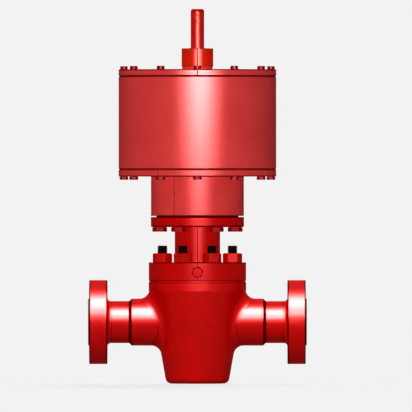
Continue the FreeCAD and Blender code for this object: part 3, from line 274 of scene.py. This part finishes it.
# Pairs of hex colours, of a thin and of a deep film
VALVE_RED = ("d40200", "cc0200")
CYLINDER_RED = ("ef4240", "e73d3b")
GLAND_RED = ("dc2400", "d42200")
ROD_RED = ("d21a0e", "ca180c")
NUT_RED = ("cc0a06", "c00804")
BOLT_CRIMSON = ("900a13", "860810")
SCREW_CRIMSON = ("a80c12", "9c0a10")


def enamel(name, colours, gloss, clear, rims=(), seams=(), line="", saddle_mm=0.0, lumps=PEEL):
    """Sprayed enamel: slow drifts in the film's depth, faint orange peel, dark and dull in rims and seams.
    A clear film gives the white bands, over the pigment's own broad and faint red gloss.
    The peel's cells are 4 mm, twice the real ones, so that they show at this size."""
    material, tree, shader, place = new_finish(name)
    tone = two_tone(tree, place, 70, *colours)
    shader.inputs["Metallic"].default_value = gloss
    shader.inputs["Coat Weight"].default_value = clear
    if rims:
        mark = thin_lines(tree, place, rims, seams, saddle_mm)
        tone = add(tree, "Mix", {0: mark, 6: tone, 7: linear(line)}, {"data_type": "RGBA"}).outputs[2]
        for socket, amount in (("Metallic", gloss), ("Coat Weight", clear)):
            left = add(tree, "MapRange", {"Value": mark, "To Min": amount, "To Max": 0.0})
            tree.links.new(left.outputs["Result"], shader.inputs[socket])
    tree.links.new(tone, shader.inputs["Base Color"])
    tree.links.new(drift(tree, place, 25, 0.26, 0.32), shader.inputs["Roughness"])
    shader.inputs["Specular Tint"].default_value = linear("f05050")
    shader.inputs["Specular IOR Level"].default_value = 0.0
    shader.inputs["Coat Roughness"].default_value = 0.24
    shader.inputs["Coat IOR"].default_value = 3.0
    relief(tree, shader, place, lumps)
    return material


def cast_enamel(name, rims):
    """Enamel over a sand-cast steel wall: the sand's 3 mm grain and 18 mm waves show through it."""
    return enamel(name, VALVE_RED, gloss=0.045, clear=0.016, rims=rims, line="640202", saddle_mm=0.6,
                  lumps=SAND)


# Unpainted finishes
def machined_steel():
    """Turned alloy steel: tool marks 0.8 mm apart, four times the real feed, and a light oil film.
    A ring wave of scale 1 repeats every 0.314 m."""
    material, tree, shader, place = new_finish("turned_alloy_steel")
    marks = add(tree, "TexWave", {"Vector": place, "Scale": 0.314 / (0.8 * MM), "Distortion": 0.4},
                {"wave_type": "RINGS", "rings_direction": "Z"}).outputs["Fac"]
    bump = add(tree, "Bump", {"Height": marks, "Distance": 0.01 * MM, "Strength": 1.0})
    tree.links.new(bump.outputs["Normal"], shader.inputs["Normal"])
    tree.links.new(two_tone(tree, place, 14, "a3a19c", "8c8a84"), shader.inputs["Base Color"])
    tree.links.new(drift(tree, place, 6, 0.27, 0.38), shader.inputs["Roughness"])
    shader.inputs["Metallic"].default_value = 1.0
    return material


def plain_finish(name, tones, lumps, values):
    """A finish with one roughness: tones are (size in mm, hex colour, hex colour), values the shader's
    own, the same all over."""
    material, tree, shader, place = new_finish(name)
    tree.links.new(two_tone(tree, place, *tones), shader.inputs["Base Color"])
    for socket, value in values.items():
        shader.inputs[socket].default_value = value
    relief(tree, shader, place, [lumps])
    return material


def stud_black():
    """Black oxide on stud steel: near black and dull, with 5 mm patches worn brown."""
    return plain_finish("stud_black_oxide", (5, "1c0a06", "2a120c"), (1.5, 2.0, 0.01),
                        {"Roughness": 0.5, "Specular IOR Level": 0.0})


def spring_steel():
    """Shot-peened spring wire under a dark grey coat: fine 1.2 mm dimples."""
    return plain_finish("peened_spring_steel", (30, "4b4e52", "3a3c40"), (1.2, 2.0, 0.05),
                        {"Metallic": 0.7, "Roughness": 0.45})


def seal_rubber():
    """Moulded nitrile rubber: black, dull, with a fine bloom."""
    return plain_finish("moulded_nitrile_rubber", (8, "161616", "232221"), (1, 2.0, 0.01),
                        {"Roughness": 0.7})


def packing_polymer():
    """Skived glass-filled PTFE packing: dull tan and waxy, with a fine 2 mm unevenness."""
    return plain_finish("filled_ptfe_packing", (5, "b0a68e", "a1977f"), (2, 2.0, 0.01),
                        {"Roughness": 0.5, "Subsurface Weight": 0.1, "Subsurface Scale": 2 * MM})


# Shape tools
def grid_faces(rows, columns, closed_rows=False):
    """Corner numbers of each cell between neighbouring rows and columns; the columns go all round, and
    so do the rows where closed."""
    row = np.arange(rows if closed_rows else rows - 1)[:, None]
    column = np.arange(columns)[None, :]
    next_row, next_column = (row + 1) % rows, (column + 1) % columns
    corners = [row * columns + column, row * columns + next_column,
               next_row * columns + next_column, next_row * columns + column]
    return np.stack(np.broadcast_arrays(*corners), -1).reshape(-1, 4)


def around(radii, heights, sides):
    """Points of a surface round the upright axis: row k of the grid is radii[k](a) from the axis,
    heights[k](a) up it, at each angle a; the rows are arrays over the angle or single numbers."""
    angle = np.arange(sides) * 2 * np.pi / sides
    radius = np.stack([np.broadcast_to(r, angle.shape) for r in radii])
    height = np.stack([np.broadcast_to(h, angle.shape) for h in heights])
    return np.stack([radius * np.cos(angle), radius * np.sin(angle), height], -1)


def rounded(radius, height, rounding, step):
    """Radii and heights of a quarter round that ends at a radius and a height: from its widest point
    up, radius - r + r cos(t) and height - r + r sin(t), for t from 0 to 90 degrees."""
    turn = np.radians(np.arange(0, 91, step))
    return ([radius - rounding + rounding * math.cos(t) for t in turn],
            [height - rounding + rounding * math.sin(t) for t in turn])


def copied(points, faces, circle, count, first, turns):
    """The same surface stood count times on a circle round the stem line, copy k turned by its place
    on the circle plus turns[k]: every copy is the points times a turning matrix, plus its centre."""
    place = np.radians(first + 360 * np.arange(count) / count)
    spin = place + np.radians(np.resize(turns, count))
    matrix = np.zeros((count, 3, 3))
    matrix[:, 0, 0] = matrix[:, 1, 1] = np.cos(spin)
    matrix[:, 0, 1] = -np.sin(spin)
    matrix[:, 1, 0] = np.sin(spin)
    matrix[:, 2, 2] = 1
    centre = np.stack([circle * np.cos(place), circle * np.sin(place), np.zeros(count)], -1)
    flat = points.reshape(-1, 3)
    everywhere = np.einsum("kij,pj->kpi", matrix, flat) + centre[:, None, :]
    numbers = faces[None] + (np.arange(count) * len(flat))[:, None, None]
    return everywhere.reshape(-1, 3), numbers.reshape(-1, 4)


def to_mesh(name, points, faces):
    """Puts points and faces in a mesh, merges its poles and seams and turns its faces outwards."""
    mesh = bpy.data.meshes.new(name)
    mesh.from_pydata(points.reshape(-1, 3).tolist(), [], faces.tolist())
    form = bmesh.new()
    form.from_mesh(mesh)
    bmesh.ops.remove_doubles(form, verts=form.verts, dist=1e-6)
    bmesh.ops.recalc_face_normals(form, faces=form.faces)
    form.to_mesh(mesh)
    form.free()
    return mesh


def shown(name, mesh, material, node, sharp=30):
    """Makes a piece that stands for a CAD node: smooth up to the sharp angle in degrees, in its finish,
    on the node's body."""
    mesh.shade_smooth()
    mesh.set_sharp_from_angle(angle=math.radians(sharp))
    piece = bpy.data.objects.new(name, mesh)
    bpy.context.scene.collection.objects.link(piece)
    mesh.materials.clear()
    mesh.materials.append(material)
    weigh = piece.modifiers.new("even_shading", "WEIGHTED_NORMAL")
    weigh.keep_sharp = True
    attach(piece, nodes[node]["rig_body"])
    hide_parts(node)


def merged_copy(node):
    """A CAD node's surface with its doubles merged, as a mesh of its own."""
    mesh = nodes[node].data.copy()
    if "custom_normal" in mesh.attributes:
        mesh.attributes.remove(mesh.attributes["custom_normal"])
    form = bmesh.new()
    form.from_mesh(mesh)
    bmesh.ops.remove_doubles(form, verts=form.verts, dist=2e-6)
    bmesh.ops.dissolve_limit(form, angle_limit=math.radians(0.1), verts=form.verts, edges=form.edges)
    form.to_mesh(mesh)
    form.free()
    return mesh


def moved_level(mesh, level, rise):
    """Moves a level's points up, outside the adapter plate's raised face: all points whose height is
    the level's and whose distance from the stem line is more than the face's radius."""
    spots = np.empty(len(mesh.vertices) * 3)
    mesh.vertices.foreach_get("co", spots)
    spots = spots.reshape(-1, 3)
    outside = np.hypot(spots[:, 0], spots[:, 1]) > FACE_RADIUS + 0.1 * MM
    spots[outside & (np.abs(spots[:, 2] - level) < 0.02 * MM), 2] += rise
    mesh.vertices.foreach_set("co", spots.ravel())


# The thin slot over the adapter plate is narrowed from both sides, as in the photograph
SLOT_SIDES = {"spring_housing": (HOUSING_BASE, -SLOT_TRIM), "adapter_plate": (ADAPTER_TOP, SLOT_TRIM)}


def refined(node, material):
    """A CAD node's surface, smooth where it curves, with its sharp edges kept."""
    mesh = merged_copy(node)
    if node in SLOT_SIDES:
        moved_level(mesh, *SLOT_SIDES[node])
    shown(node + "_surface", mesh, material, node)


# Fasteners: points round each one, and a hexagon's shares of its width over the flats
SIDES = 96
CORNER_REACH = 0.568
CORNER_CUT = 0.53
BEARING = 0.475
CONE_SLOPE = math.tan(math.radians(30))


def hex_reach(flats):
    """Distance from the axis to a hexagon's side at each angle, a corner at angle 0. The corners are
    eased: a sharp one would reach 0.577 of the width over the flats."""
    angle = np.arange(SIDES) * 2 * np.pi / SIDES
    sector = np.mod(angle, np.pi / 3) - np.pi / 6
    return np.minimum(flats / 2 / np.cos(sector), flats * CORNER_REACH)


def bonnet_nuts(material):
    """Heavy hexagon nuts: a hexagon whose ends are cut by 30 degree cones, deep above and shallow
    below, so that each corner ends in an arc, with a countersunk bore and broken edges."""
    flats, height, bore, sink = 41.0 * MM, 21.9 * MM, 12.1 * MM, 1.2 * MM
    edge, over, under = 0.15 * MM, 0.1 * MM, 0.25 * MM
    low_cone, low_edge = 0.3, 0.4
    reach = hex_reach(flats)
    bearing = flats * BEARING
    drop = (reach - bearing) * CONE_SLOPE
    radii = [bore, bore, bore + sink, bearing, reach - edge, reach, reach, reach - edge, bearing]
    heights = [0.0, height - sink, height, height, height - drop + over, height - (drop + under),
               (drop + under) * low_edge, drop * low_cone, 0.0]
    points = around(radii, heights, SIDES) + [0, 0, BONNET_TOP]
    faces = grid_faces(len(radii), SIDES, closed_rows=True)
    turns = [24, 23, 25, 19, 23.5, 18.5, 24.5, 24]
    points, faces = copied(points, faces, STUD_CIRCLE, 8, 22.5, turns)
    shown("bonnet_heavy_nuts", to_mesh("bonnet_heavy_nuts", points, faces), material, "bonnet_nuts", 22)


def bonnet_studs(material):
    """Studs with a rolled 3 mm thread: the radius falls by a triangle wave of height / pitch less
    angle / one turn, cut off flat at its crests and roots, and by a 45 degree cone at the tip; the
    plain shank below is hidden."""
    sides, rows_a_turn = 48, 10
    radius, pitch, depth = 12.0 * MM, 3.0 * MM, 1.84 * MM
    tip, foot_bevel = radius - 2.2 * MM, 2 * MM
    thread_base = BONNET_TOP + 12 * MM
    rows = int(round((STUD_TOP - thread_base) / (pitch / rows_a_turn))) + 1
    height = np.linspace(thread_base, STUD_TOP, rows)[:, None]
    angle = (np.arange(sides) * 2 * np.pi / sides)[None, :]
    phase = np.mod(height / pitch - angle / (2 * np.pi), 1)
    groove = np.clip(1.25 - 2.5 * np.abs(phase - 0.5), 0, 1)
    run_in = np.clip((height - thread_base) / pitch, 0, 1)
    thread = np.minimum(radius - depth * groove * run_in, tip + (STUD_TOP - height))
    low = around([0.0, radius - foot_bevel, radius], [STUD_BASE, STUD_BASE, STUD_BASE + foot_bevel], sides)
    upper = around(list(thread), list(np.broadcast_to(height, thread.shape)), sides)
    end = around([tip * 0.9, 0.0], [STUD_TOP, STUD_TOP], sides)
    points = np.concatenate([low, upper, end])
    faces = grid_faces(len(points), sides)
    points, faces = copied(points, faces, STUD_CIRCLE, 8, 22.5, [0, 31, 77, 12, 50, 23, 64, 8])
    shown("bonnet_threaded_studs", to_mesh("bonnet_threaded_studs", points, faces), material,
          "bonnet_studs", 40)


def cover_bolts(material):
    """Socket head bolts: a turned head with a rounded rim, and a hexagon key well whose wall is the
    hexagon's reach at each angle, with a bevelled mouth; its first corner points away from the stem."""
    key, well = hex_reach(8.0 * MM), 4 * MM
    head, shank = 9.0 * MM, 6.0 * MM
    mouth, edge = 0.6 * MM, 0.4 * MM
    base, seat, top = base_of("cover_bolts"), COVER_TOP, top_of("cover_bolts")
    rim_radii, rim_heights = rounded(head, top, 0.8 * MM, 22.5)
    radii = [0.0, shank, shank, head - edge, head, *rim_radii, key + mouth, key, key, 0.0]
    heights = [base, base, seat, seat, seat + edge, *rim_heights, top, top - mouth, top - well, top - well]
    points = around(radii, heights, SIDES)
    faces = grid_faces(len(radii), SIDES)
    points, faces = copied(points, faces, BOLT_CIRCLE, 12, 0, [0])
    shown("cover_socket_bolts", to_mesh("cover_socket_bolts", points, faces), material, "cover_bolts")


def hanging_screws(name, node, material, flats, head, shank, circle, count, turns):
    """Hexagon screws that point up, their heads below: a 30 degree cone takes only the corners off the
    head's free end, and a washer face 0.6 mm high stands under the shank."""
    washer, edge, tip = 0.6 * MM, 0.2 * MM, 1.2 * MM
    reach = hex_reach(flats)
    bearing = flats * BEARING
    end = np.minimum(reach - edge, flats * CORNER_CUT)
    drop = (reach - end) * CONE_SLOPE
    base, top = base_of(node), top_of(node)
    seat = base + head
    radii = [0.0, bearing, end, reach, reach, reach - edge / 2, bearing, bearing, shank, shank,
             shank - tip, 0.0]
    heights = [base, base, base, base + drop, seat - washer - edge, seat - washer, seat - washer, seat,
               seat, top - tip, top, top]
    points = around(radii, heights, SIDES)
    faces = grid_faces(len(radii), SIDES)
    points, faces = copied(points, faces, circle, count, 0, turns)
    shown(name, to_mesh(name, points, faces), material, node, 22)


def vent_plug(material):
    """Hexagon plug on the front of the bonnet flange, drawn upright and laid over to point at -Y:
    (x, y, z) goes to (x, -z, y), after its hexagon is turned by 10 degrees."""
    flats, shank, length = 25.0 * MM, 10.0 * MM, 18.0 * MM
    edge = 0.1 * MM
    reach = hex_reach(flats)
    bearing = flats * BEARING
    shoulder = PLUG_HEAD - (reach - bearing) * CONE_SLOPE
    radii = [0.0, shank, shank, reach - edge, reach, reach, reach - edge, bearing, 0.0]
    heights = [-length, -length, 0.0, 0.0, 2 * edge, shoulder - 2 * edge, shoulder, PLUG_HEAD, PLUG_HEAD]
    upright = around(radii, heights, SIDES)
    turn = math.radians(10)
    x = upright[..., 0] * math.cos(turn) - upright[..., 1] * math.sin(turn)
    y = upright[..., 0] * math.sin(turn) + upright[..., 1] * math.cos(turn)
    points = np.stack([x, -upright[..., 2] - BONNET_RADIUS, y + PLUG_HEIGHT], -1)
    faces = grid_faces(len(radii), SIDES)
    shown("vent_plug_hexagon", to_mesh("vent_plug_hexagon", points, faces), material,
          "bonnet_vent_plug", 22)


def indicator_rod(material):
    """Turned rod over the CAD rod, with a spigot below and a bevelled tip: a profile of radius and
    height, whose last edge is a quarter round."""
    sides = 128
    spigot, shoulder, edge = 13.0 * MM, 722 * MM, 1 * MM
    base = base_of("indicator_rod")
    rim_radii, rim_heights = rounded(ROD_RADIUS - ROD_TIP_BEVEL, ROD_TOP, 1.2 * MM, 15)
    radii = [0.0, spigot - edge, spigot, spigot, ROD_RADIUS, ROD_RADIUS, *rim_radii, 0.0]
    heights = [base, base, base + edge, shoulder, shoulder, ROD_TOP - ROD_TIP_RISE, *rim_heights, ROD_TOP]
    points = around(radii, heights, sides)
    faces = grid_faces(len(radii), sides)
    shown("indicator_rod_surface", to_mesh("indicator_rod_surface", points, faces), material,
          "indicator_rod")


# Dark rims of the painted pieces: (axis, radius, level, half width in mm). Along edges they are drawn dark
# lines; in the grooves of the joints between parts they are painted shade, and the wide ones in the slot
# over the adapter plate, on the screws there and in the breather holes are painted shade in hollows.
RIMS = {
    "cylinder_barrel": [("stem", CYLINDER_RADIUS, BARREL_BASE, 2.6),
                        ("stem", CYLINDER_RADIUS, BARREL_TOP, 2.6)],
    "top_cover": [("stem", CYLINDER_RADIUS, BARREL_TOP, 2.6),
                  ("stem", CYLINDER_RADIUS, COVER_TOP, 2.6),
                  ("stem", BOSS_RADIUS, COVER_TOP, 1.0)],
    "cylinder_bottom_plate": [("stem", CYLINDER_RADIUS, BARREL_BASE, 2.6),
                              ("stem", CYLINDER_RADIUS, PLATE_BASE, 2.2)],
    "spring_housing": [("stem", HOUSING_RADIUS, HOUSING_BASE - SLOT_TRIM, 2.0),
                       ("stem", HOUSING_RADIUS, PLATE_BASE, 1.2),
                       # Painted shade inside the breather holes: a wide dark ring round the middle of the
                       # wall at their height.
                       ("stem", HOUSING_WALL_MIDDLE, BREATHER_HEIGHT, 4.6)],
    "adapter_plate": [("stem", ADAPTER_RADIUS, ADAPTER_BASE + ADAPTER_BEVEL, 1.2),
                      ("stem", ADAPTER_RADIUS, ADAPTER_TOP + SLOT_TRIM, 2.0),
                      # Painted shade in the slot over the adapter plate: its raised face is darkened
                      # across the slot's height.
                      ("stem", FACE_RADIUS, SLOT_MIDDLE, 4.0)],
    # Painted shade on the screw shanks where they cross the slot.
    "adapter_screws": [("stem", SCREW_CIRCLE, SLOT_MIDDLE, 9.0)],
    "bonnet_vent_plug": [("plug", PLUG_RIM, BONNET_RADIUS + PLUG_HEAD, 2.6)],
    "bonnet": [("stem", BONNET_RADIUS, BONNET_TOP, 2.0),
               ("stem", BONNET_RADIUS, JOINT + JOINT_STEP, 1.2),
               ("stem", NECK_RADIUS + NECK_EASE, BONNET_TOP + NECK_EASE, 1.2)],
    "valve_body": [("stem", BODY_RIM, JOINT - JOINT_STEP, 1.2),
                   ("stem", BODY_RIM, BODY_RIM_BASE, 1.0),
                   ("flow", STUB_RADIUS - STUB_BEVEL / 2, STUB_END - STUB_BEVEL / 2, 4.4)],
    "flange": [("flow", HUB_RADIUS, HUB_LINE, 0.6),
               ("flow", FLANGE_RADIUS, FLANGE_BACK, 2.8),
               ("flow", FLANGE_RADIUS, FLANGE_FACE, 2.8),
               ("flow", RAISED_RADIUS, RAISED_MIDDLE, 2.8),
               ("flow", HUB_RADIUS, STUB_END, 1.2)],
    "rod_gland": [("stem", GLAND_RADIUS, BOSS_TOP, 1.2),
                  ("stem", GLAND_RADIUS, GLAND_TOP, 1.2)],
    "indicator_rod": [("stem", ROD_RADIUS, ROD_TOP - ROD_TIP_RISE, 1.0)],
}


def seam_at(radius, degrees, half_mm):
    """Plan position of an upright seam, measured from the front towards the outlet, and half its width."""
    angle = math.radians(degrees)
    return (radius * math.sin(angle), -radius * math.cos(angle), half_mm)


SEAMS = {
    "top_cover": [seam_at(CYLINDER_RADIUS, 0, 1.6), seam_at(BOSS_RADIUS, 0, 1.6)],
    "cylinder_bottom_plate": [seam_at(CYLINDER_RADIUS, -30, 0.7)],
    "spring_housing": [seam_at(HOUSING_RADIUS, -30, 0.8)],
    "bonnet": [seam_at(BONNET_RADIUS, 0, 0.7), seam_at(NECK_RADIUS, 0, 0.9)],
    "rod_gland": [seam_at(GLAND_RADIUS, 0, 1.2)],
}


# Which piece gets which finish
def dress_inside():
    """Gives the unpainted CAD nodes their finishes, by slot."""
    finishes = {"machined_steel": machined_steel(), "seal_rubber": seal_rubber(),
                "packing_polymer": packing_polymer(), "spring_steel": spring_steel()}
    for node in nodes.values():
        slot = node.data.materials[0].name
        if slot in finishes:
            node.data.materials[0] = finishes[slot]


def dress_fasteners():
    """Nuts, studs, bolts, screws, the vent plug and the rod."""
    bonnet_nuts(enamel("nut_enamel", NUT_RED, gloss=0.05, clear=0.012))
    bonnet_studs(stud_black())
    crimson = enamel("bolt_crimson_enamel", BOLT_CRIMSON, gloss=0.02, clear=0.005)
    cover_bolts(crimson)
    hanging_screws("bottom_plate_hexagon_bolts", "bottom_plate_bolts", crimson, flats=18 * MM,
                   head=8 * MM, shank=6 * MM, circle=BOLT_CIRCLE, count=12, turns=[0, 30])
    # The screws' near-black rim colour darkens their shanks in the slot: painted shade.
    screw = enamel("screw_enamel", SCREW_CRIMSON, gloss=0.012, clear=0.003,
                   rims=RIMS["adapter_screws"], line="380404")
    hanging_screws("adapter_hexagon_screws", "adapter_screws", screw, flats=31 * MM,
                   head=11 * MM, shank=8 * MM, circle=SCREW_CIRCLE, count=6, turns=[0])
    vent_plug(enamel("plug_enamel", VALVE_RED, gloss=0.04, clear=0.008,
                     rims=RIMS["bonnet_vent_plug"], line="500202"))
    indicator_rod(enamel("rod_enamel", ROD_RED, gloss=0.055, clear=0.0145,
                         rims=RIMS["indicator_rod"], line="5c0a06"))


def painted(node, name, colours, gloss, clear, line):
    """A CAD node's refined surface in its own enamel, with the node's dark rims and seams."""
    refined(node, enamel(name, colours, gloss, clear, RIMS[node], SEAMS.get(node, ()), line))


def dress_walls():
    """The painted walls of the actuator and of the pressure part."""
    for node in ("cylinder_barrel", "top_cover", "cylinder_bottom_plate", "spring_housing"):
        painted(node, node + "_enamel", CYLINDER_RED, gloss=0.028, clear=0.0185, line="8c161c")
    painted("adapter_plate", "adapter_enamel", VALVE_RED, gloss=0.05, clear=0.013, line="500202")
    painted("bonnet", "bonnet_enamel", VALVE_RED, gloss=0.045, clear=0.017, line="640202")
    refined("valve_body", cast_enamel("body_cast_enamel", RIMS["valve_body"]))
    flange = enamel("flange_enamel", VALVE_RED, gloss=0.045, clear=0.016, rims=RIMS["flange"],
                    line="500404")
    for node in ("inlet_flange", "outlet_flange"):
        refined(node, flange)
    painted("rod_gland", "gland_enamel", GLAND_RED, gloss=0.04, clear=0.013, line="7c2410")


def compress_spring():
    """Gives the closing spring its own copy of its mesh."""
    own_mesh(nodes["main_spring"])


# Floor, light and view
def seen_by(tree, *rays):
    """Share that is 1 for the named kinds of rays and 0 for the others."""
    path = add(tree, "LightPath")
    share = path.outputs[rays[0]]
    for ray in rays[1:]:
        share = add(tree, "Math", {0: share, 1: path.outputs[ray]}, {"operation": "MAXIMUM"}).outputs[0]
    return share


def make_floor():
    """Pale round floor: a disc of rings, whose shade for the camera stays near the background."""
    rings, sides, radius, glow, grey = 7, 96, 1.2, 0.62, 0.35
    material, tree, shader, _ = new_finish("pale_floor")
    tree.nodes.remove(shader)
    seen = seen_by(tree, "Is Camera Ray", "Is Glossy Ray")
    strength = add(tree, "Math", {0: seen, 1: glow}, {"operation": "MULTIPLY"}).outputs[0]
    matt = add(tree, "BsdfDiffuse", {"Color": (grey, grey, grey, 1)}).outputs[0]
    light = add(tree, "Emission", {"Color": (1, 1, 1, 1), "Strength": strength}).outputs[0]
    both = add(tree, "AddShader", {0: matt, 1: light}).outputs[0]
    tree.links.new(both, tree.nodes["Material Output"].inputs["Surface"])
    points = around(list(np.linspace(0, radius, rings)), [0.0] * rings, sides)
    mesh = to_mesh("floor", points, grid_faces(rings, sides))
    floor = bpy.data.objects.new("floor", mesh)
    bpy.context.scene.collection.objects.link(floor)
    mesh.materials.append(material)


def make_world():
    """Grey surroundings that light the valve, and a pale one that the camera, gloss and glass see."""
    world = bpy.data.worlds.new("studio")
    bpy.context.scene.world = world
    world.use_nodes = True
    tree = world.node_tree
    seen = seen_by(tree, "Is Camera Ray", "Is Glossy Ray", "Is Transmission Ray")
    shades = {0: seen, 6: (0.14, 0.14, 0.14, 1), 7: linear("f2f2f2")}
    colour = add(tree, "Mix", shades, {"data_type": "RGBA"}).outputs[2]
    tree.links.new(colour, tree.nodes["Background"].inputs["Color"])


def make_sun(name, azimuth, elevation, strength, spread, shadow=True):
    """Soft sun from an azimuth round the stem (0 is the front) and an elevation, in degrees."""
    lamp = bpy.data.lights.new(name, "SUN")
    lamp.energy = strength
    lamp.angle = math.radians(spread)
    lamp.use_shadow = shadow
    sun = bpy.data.objects.new(name, lamp)
    bpy.context.scene.collection.objects.link(sun)
    a, e = math.radians(azimuth), math.radians(elevation)
    towards = Vector((math.sin(a) * math.cos(e), -math.cos(a) * math.cos(e), math.sin(e)))
    sun.rotation_euler = towards.to_track_quat("Z", "Y").to_euler()
    sun.visible_glossy = False


def make_softbox(name, spot, target, size, radiance, brightest, spread):
    """Softbox that only shows in gloss. It fades with the distances x and z from its brightest place
    as exp(-(x / spread x)^2 - (z / spread z)^2), so that a round wall gets a soft-edged pale band."""
    lamp = bpy.data.lights.new(name, "AREA")
    lamp.shape = "RECTANGLE"
    lamp.size, lamp.size_y = size
    lamp.energy = radiance * math.pi * size[0] * size[1]
    lamp.use_shadow = False
    lamp.cycles.max_bounces = 0
    lamp.use_nodes = True
    tree = lamp.node_tree
    place = add(tree, "NewGeometry").outputs["Position"]
    away = add(tree, "VectorMath", {0: place, 1: brightest}, {"operation": "SUBTRACT"}).outputs["Vector"]
    scale = (1 / spread[0], 0.0, 1 / spread[1])
    share = add(tree, "VectorMath", {0: away, 1: scale}, {"operation": "MULTIPLY"}).outputs["Vector"]
    square = add(tree, "VectorMath", {0: share, 1: share}, {"operation": "DOT_PRODUCT"}).outputs["Value"]
    fall = add(tree, "Math", {0: math.exp(-1), 1: square}, {"operation": "POWER"}).outputs[0]
    tree.links.new(fall, tree.nodes["Emission"].inputs["Strength"])
    box = bpy.data.objects.new(name, lamp)
    bpy.context.scene.collection.objects.link(box)
    box.location = spot
    box.rotation_euler = (Vector(spot) - Vector(target)).to_track_quat("Z", "Y").to_euler()
    box.visible_diffuse = False
    box.visible_camera = False
    return box


# What the high softboxes light, and each side's name, distance from the stem line and radiances
STUB_PIECES = ("valve_body", "inlet_flange", "outlet_flange")
SIDES_LIT = (("front", -1.35, 690, 385), ("back", 1.35, 18, 3))


def make_lights():
    """Two soft suns for the form. Before and behind the valve, a softbox that ends level with the rod's
    tip, and is brightest there, gives the upright walls their bands, and a high one gives the stubs and
    flanges theirs. The high ones are flagged off everything else, so that no level top mirrors them."""
    lit = bpy.data.collections.new("stubs_and_flanges")
    for piece in bpy.context.scene.objects:
        if piece.name.startswith(STUB_PIECES):
            lit.objects.link(piece)
    make_sun("front_sun", azimuth=-6, elevation=35, strength=2.15, spread=25, shadow=False)
    make_sun("back_sun", azimuth=172, elevation=20, strength=2.1, spread=25)
    for side, ahead, wall_glow, stub_glow in SIDES_LIT:
        make_softbox(side + "_wall_softbox", spot=(0.1, ahead, 0.49), target=(0.1, 0, 0.49),
                     size=(1.8, 0.80), radiance=wall_glow, brightest=(0.1, ahead, 1.26),
                     spread=(0.45, 0.42))
        high = make_softbox(side + "_stub_softbox", spot=(0, ahead, 1.92), target=(0, 0, 0.15),
                            size=(2.0, 3.0), radiance=stub_glow, brightest=(0, ahead, 1.92),
                            spread=(1.0, 0.5))
        high.light_linking.receiver_collection = lit


def make_camera():
    """Long lens level with the valve's middle, so that it sees the front almost without perspective.
    It stands where its frame, 412 dots wide, is 2.3836 mm a dot at the stem line."""
    dots, dot_mm = 412, 2.3836
    across, height = 0.0204, 0.4232
    lens = bpy.data.cameras.new("view")
    lens.lens = 1650
    lens.sensor_width = 36
    lens.clip_end = 100
    distance = dots * dot_mm * MM * lens.lens / lens.sensor_width
    camera = bpy.data.objects.new("view", lens)
    bpy.context.scene.collection.objects.link(camera)
    camera.location = (across, -distance, height)
    camera.rotation_euler = (math.radians(90), 0, 0)
    bpy.context.scene.camera = camera


make_camera()
make_world()
make_floor()
dress_inside()
dress_fasteners()
dress_walls()
make_lights()
compress_spring()
bpy.context.scene.view_settings.view_transform = "Standard"
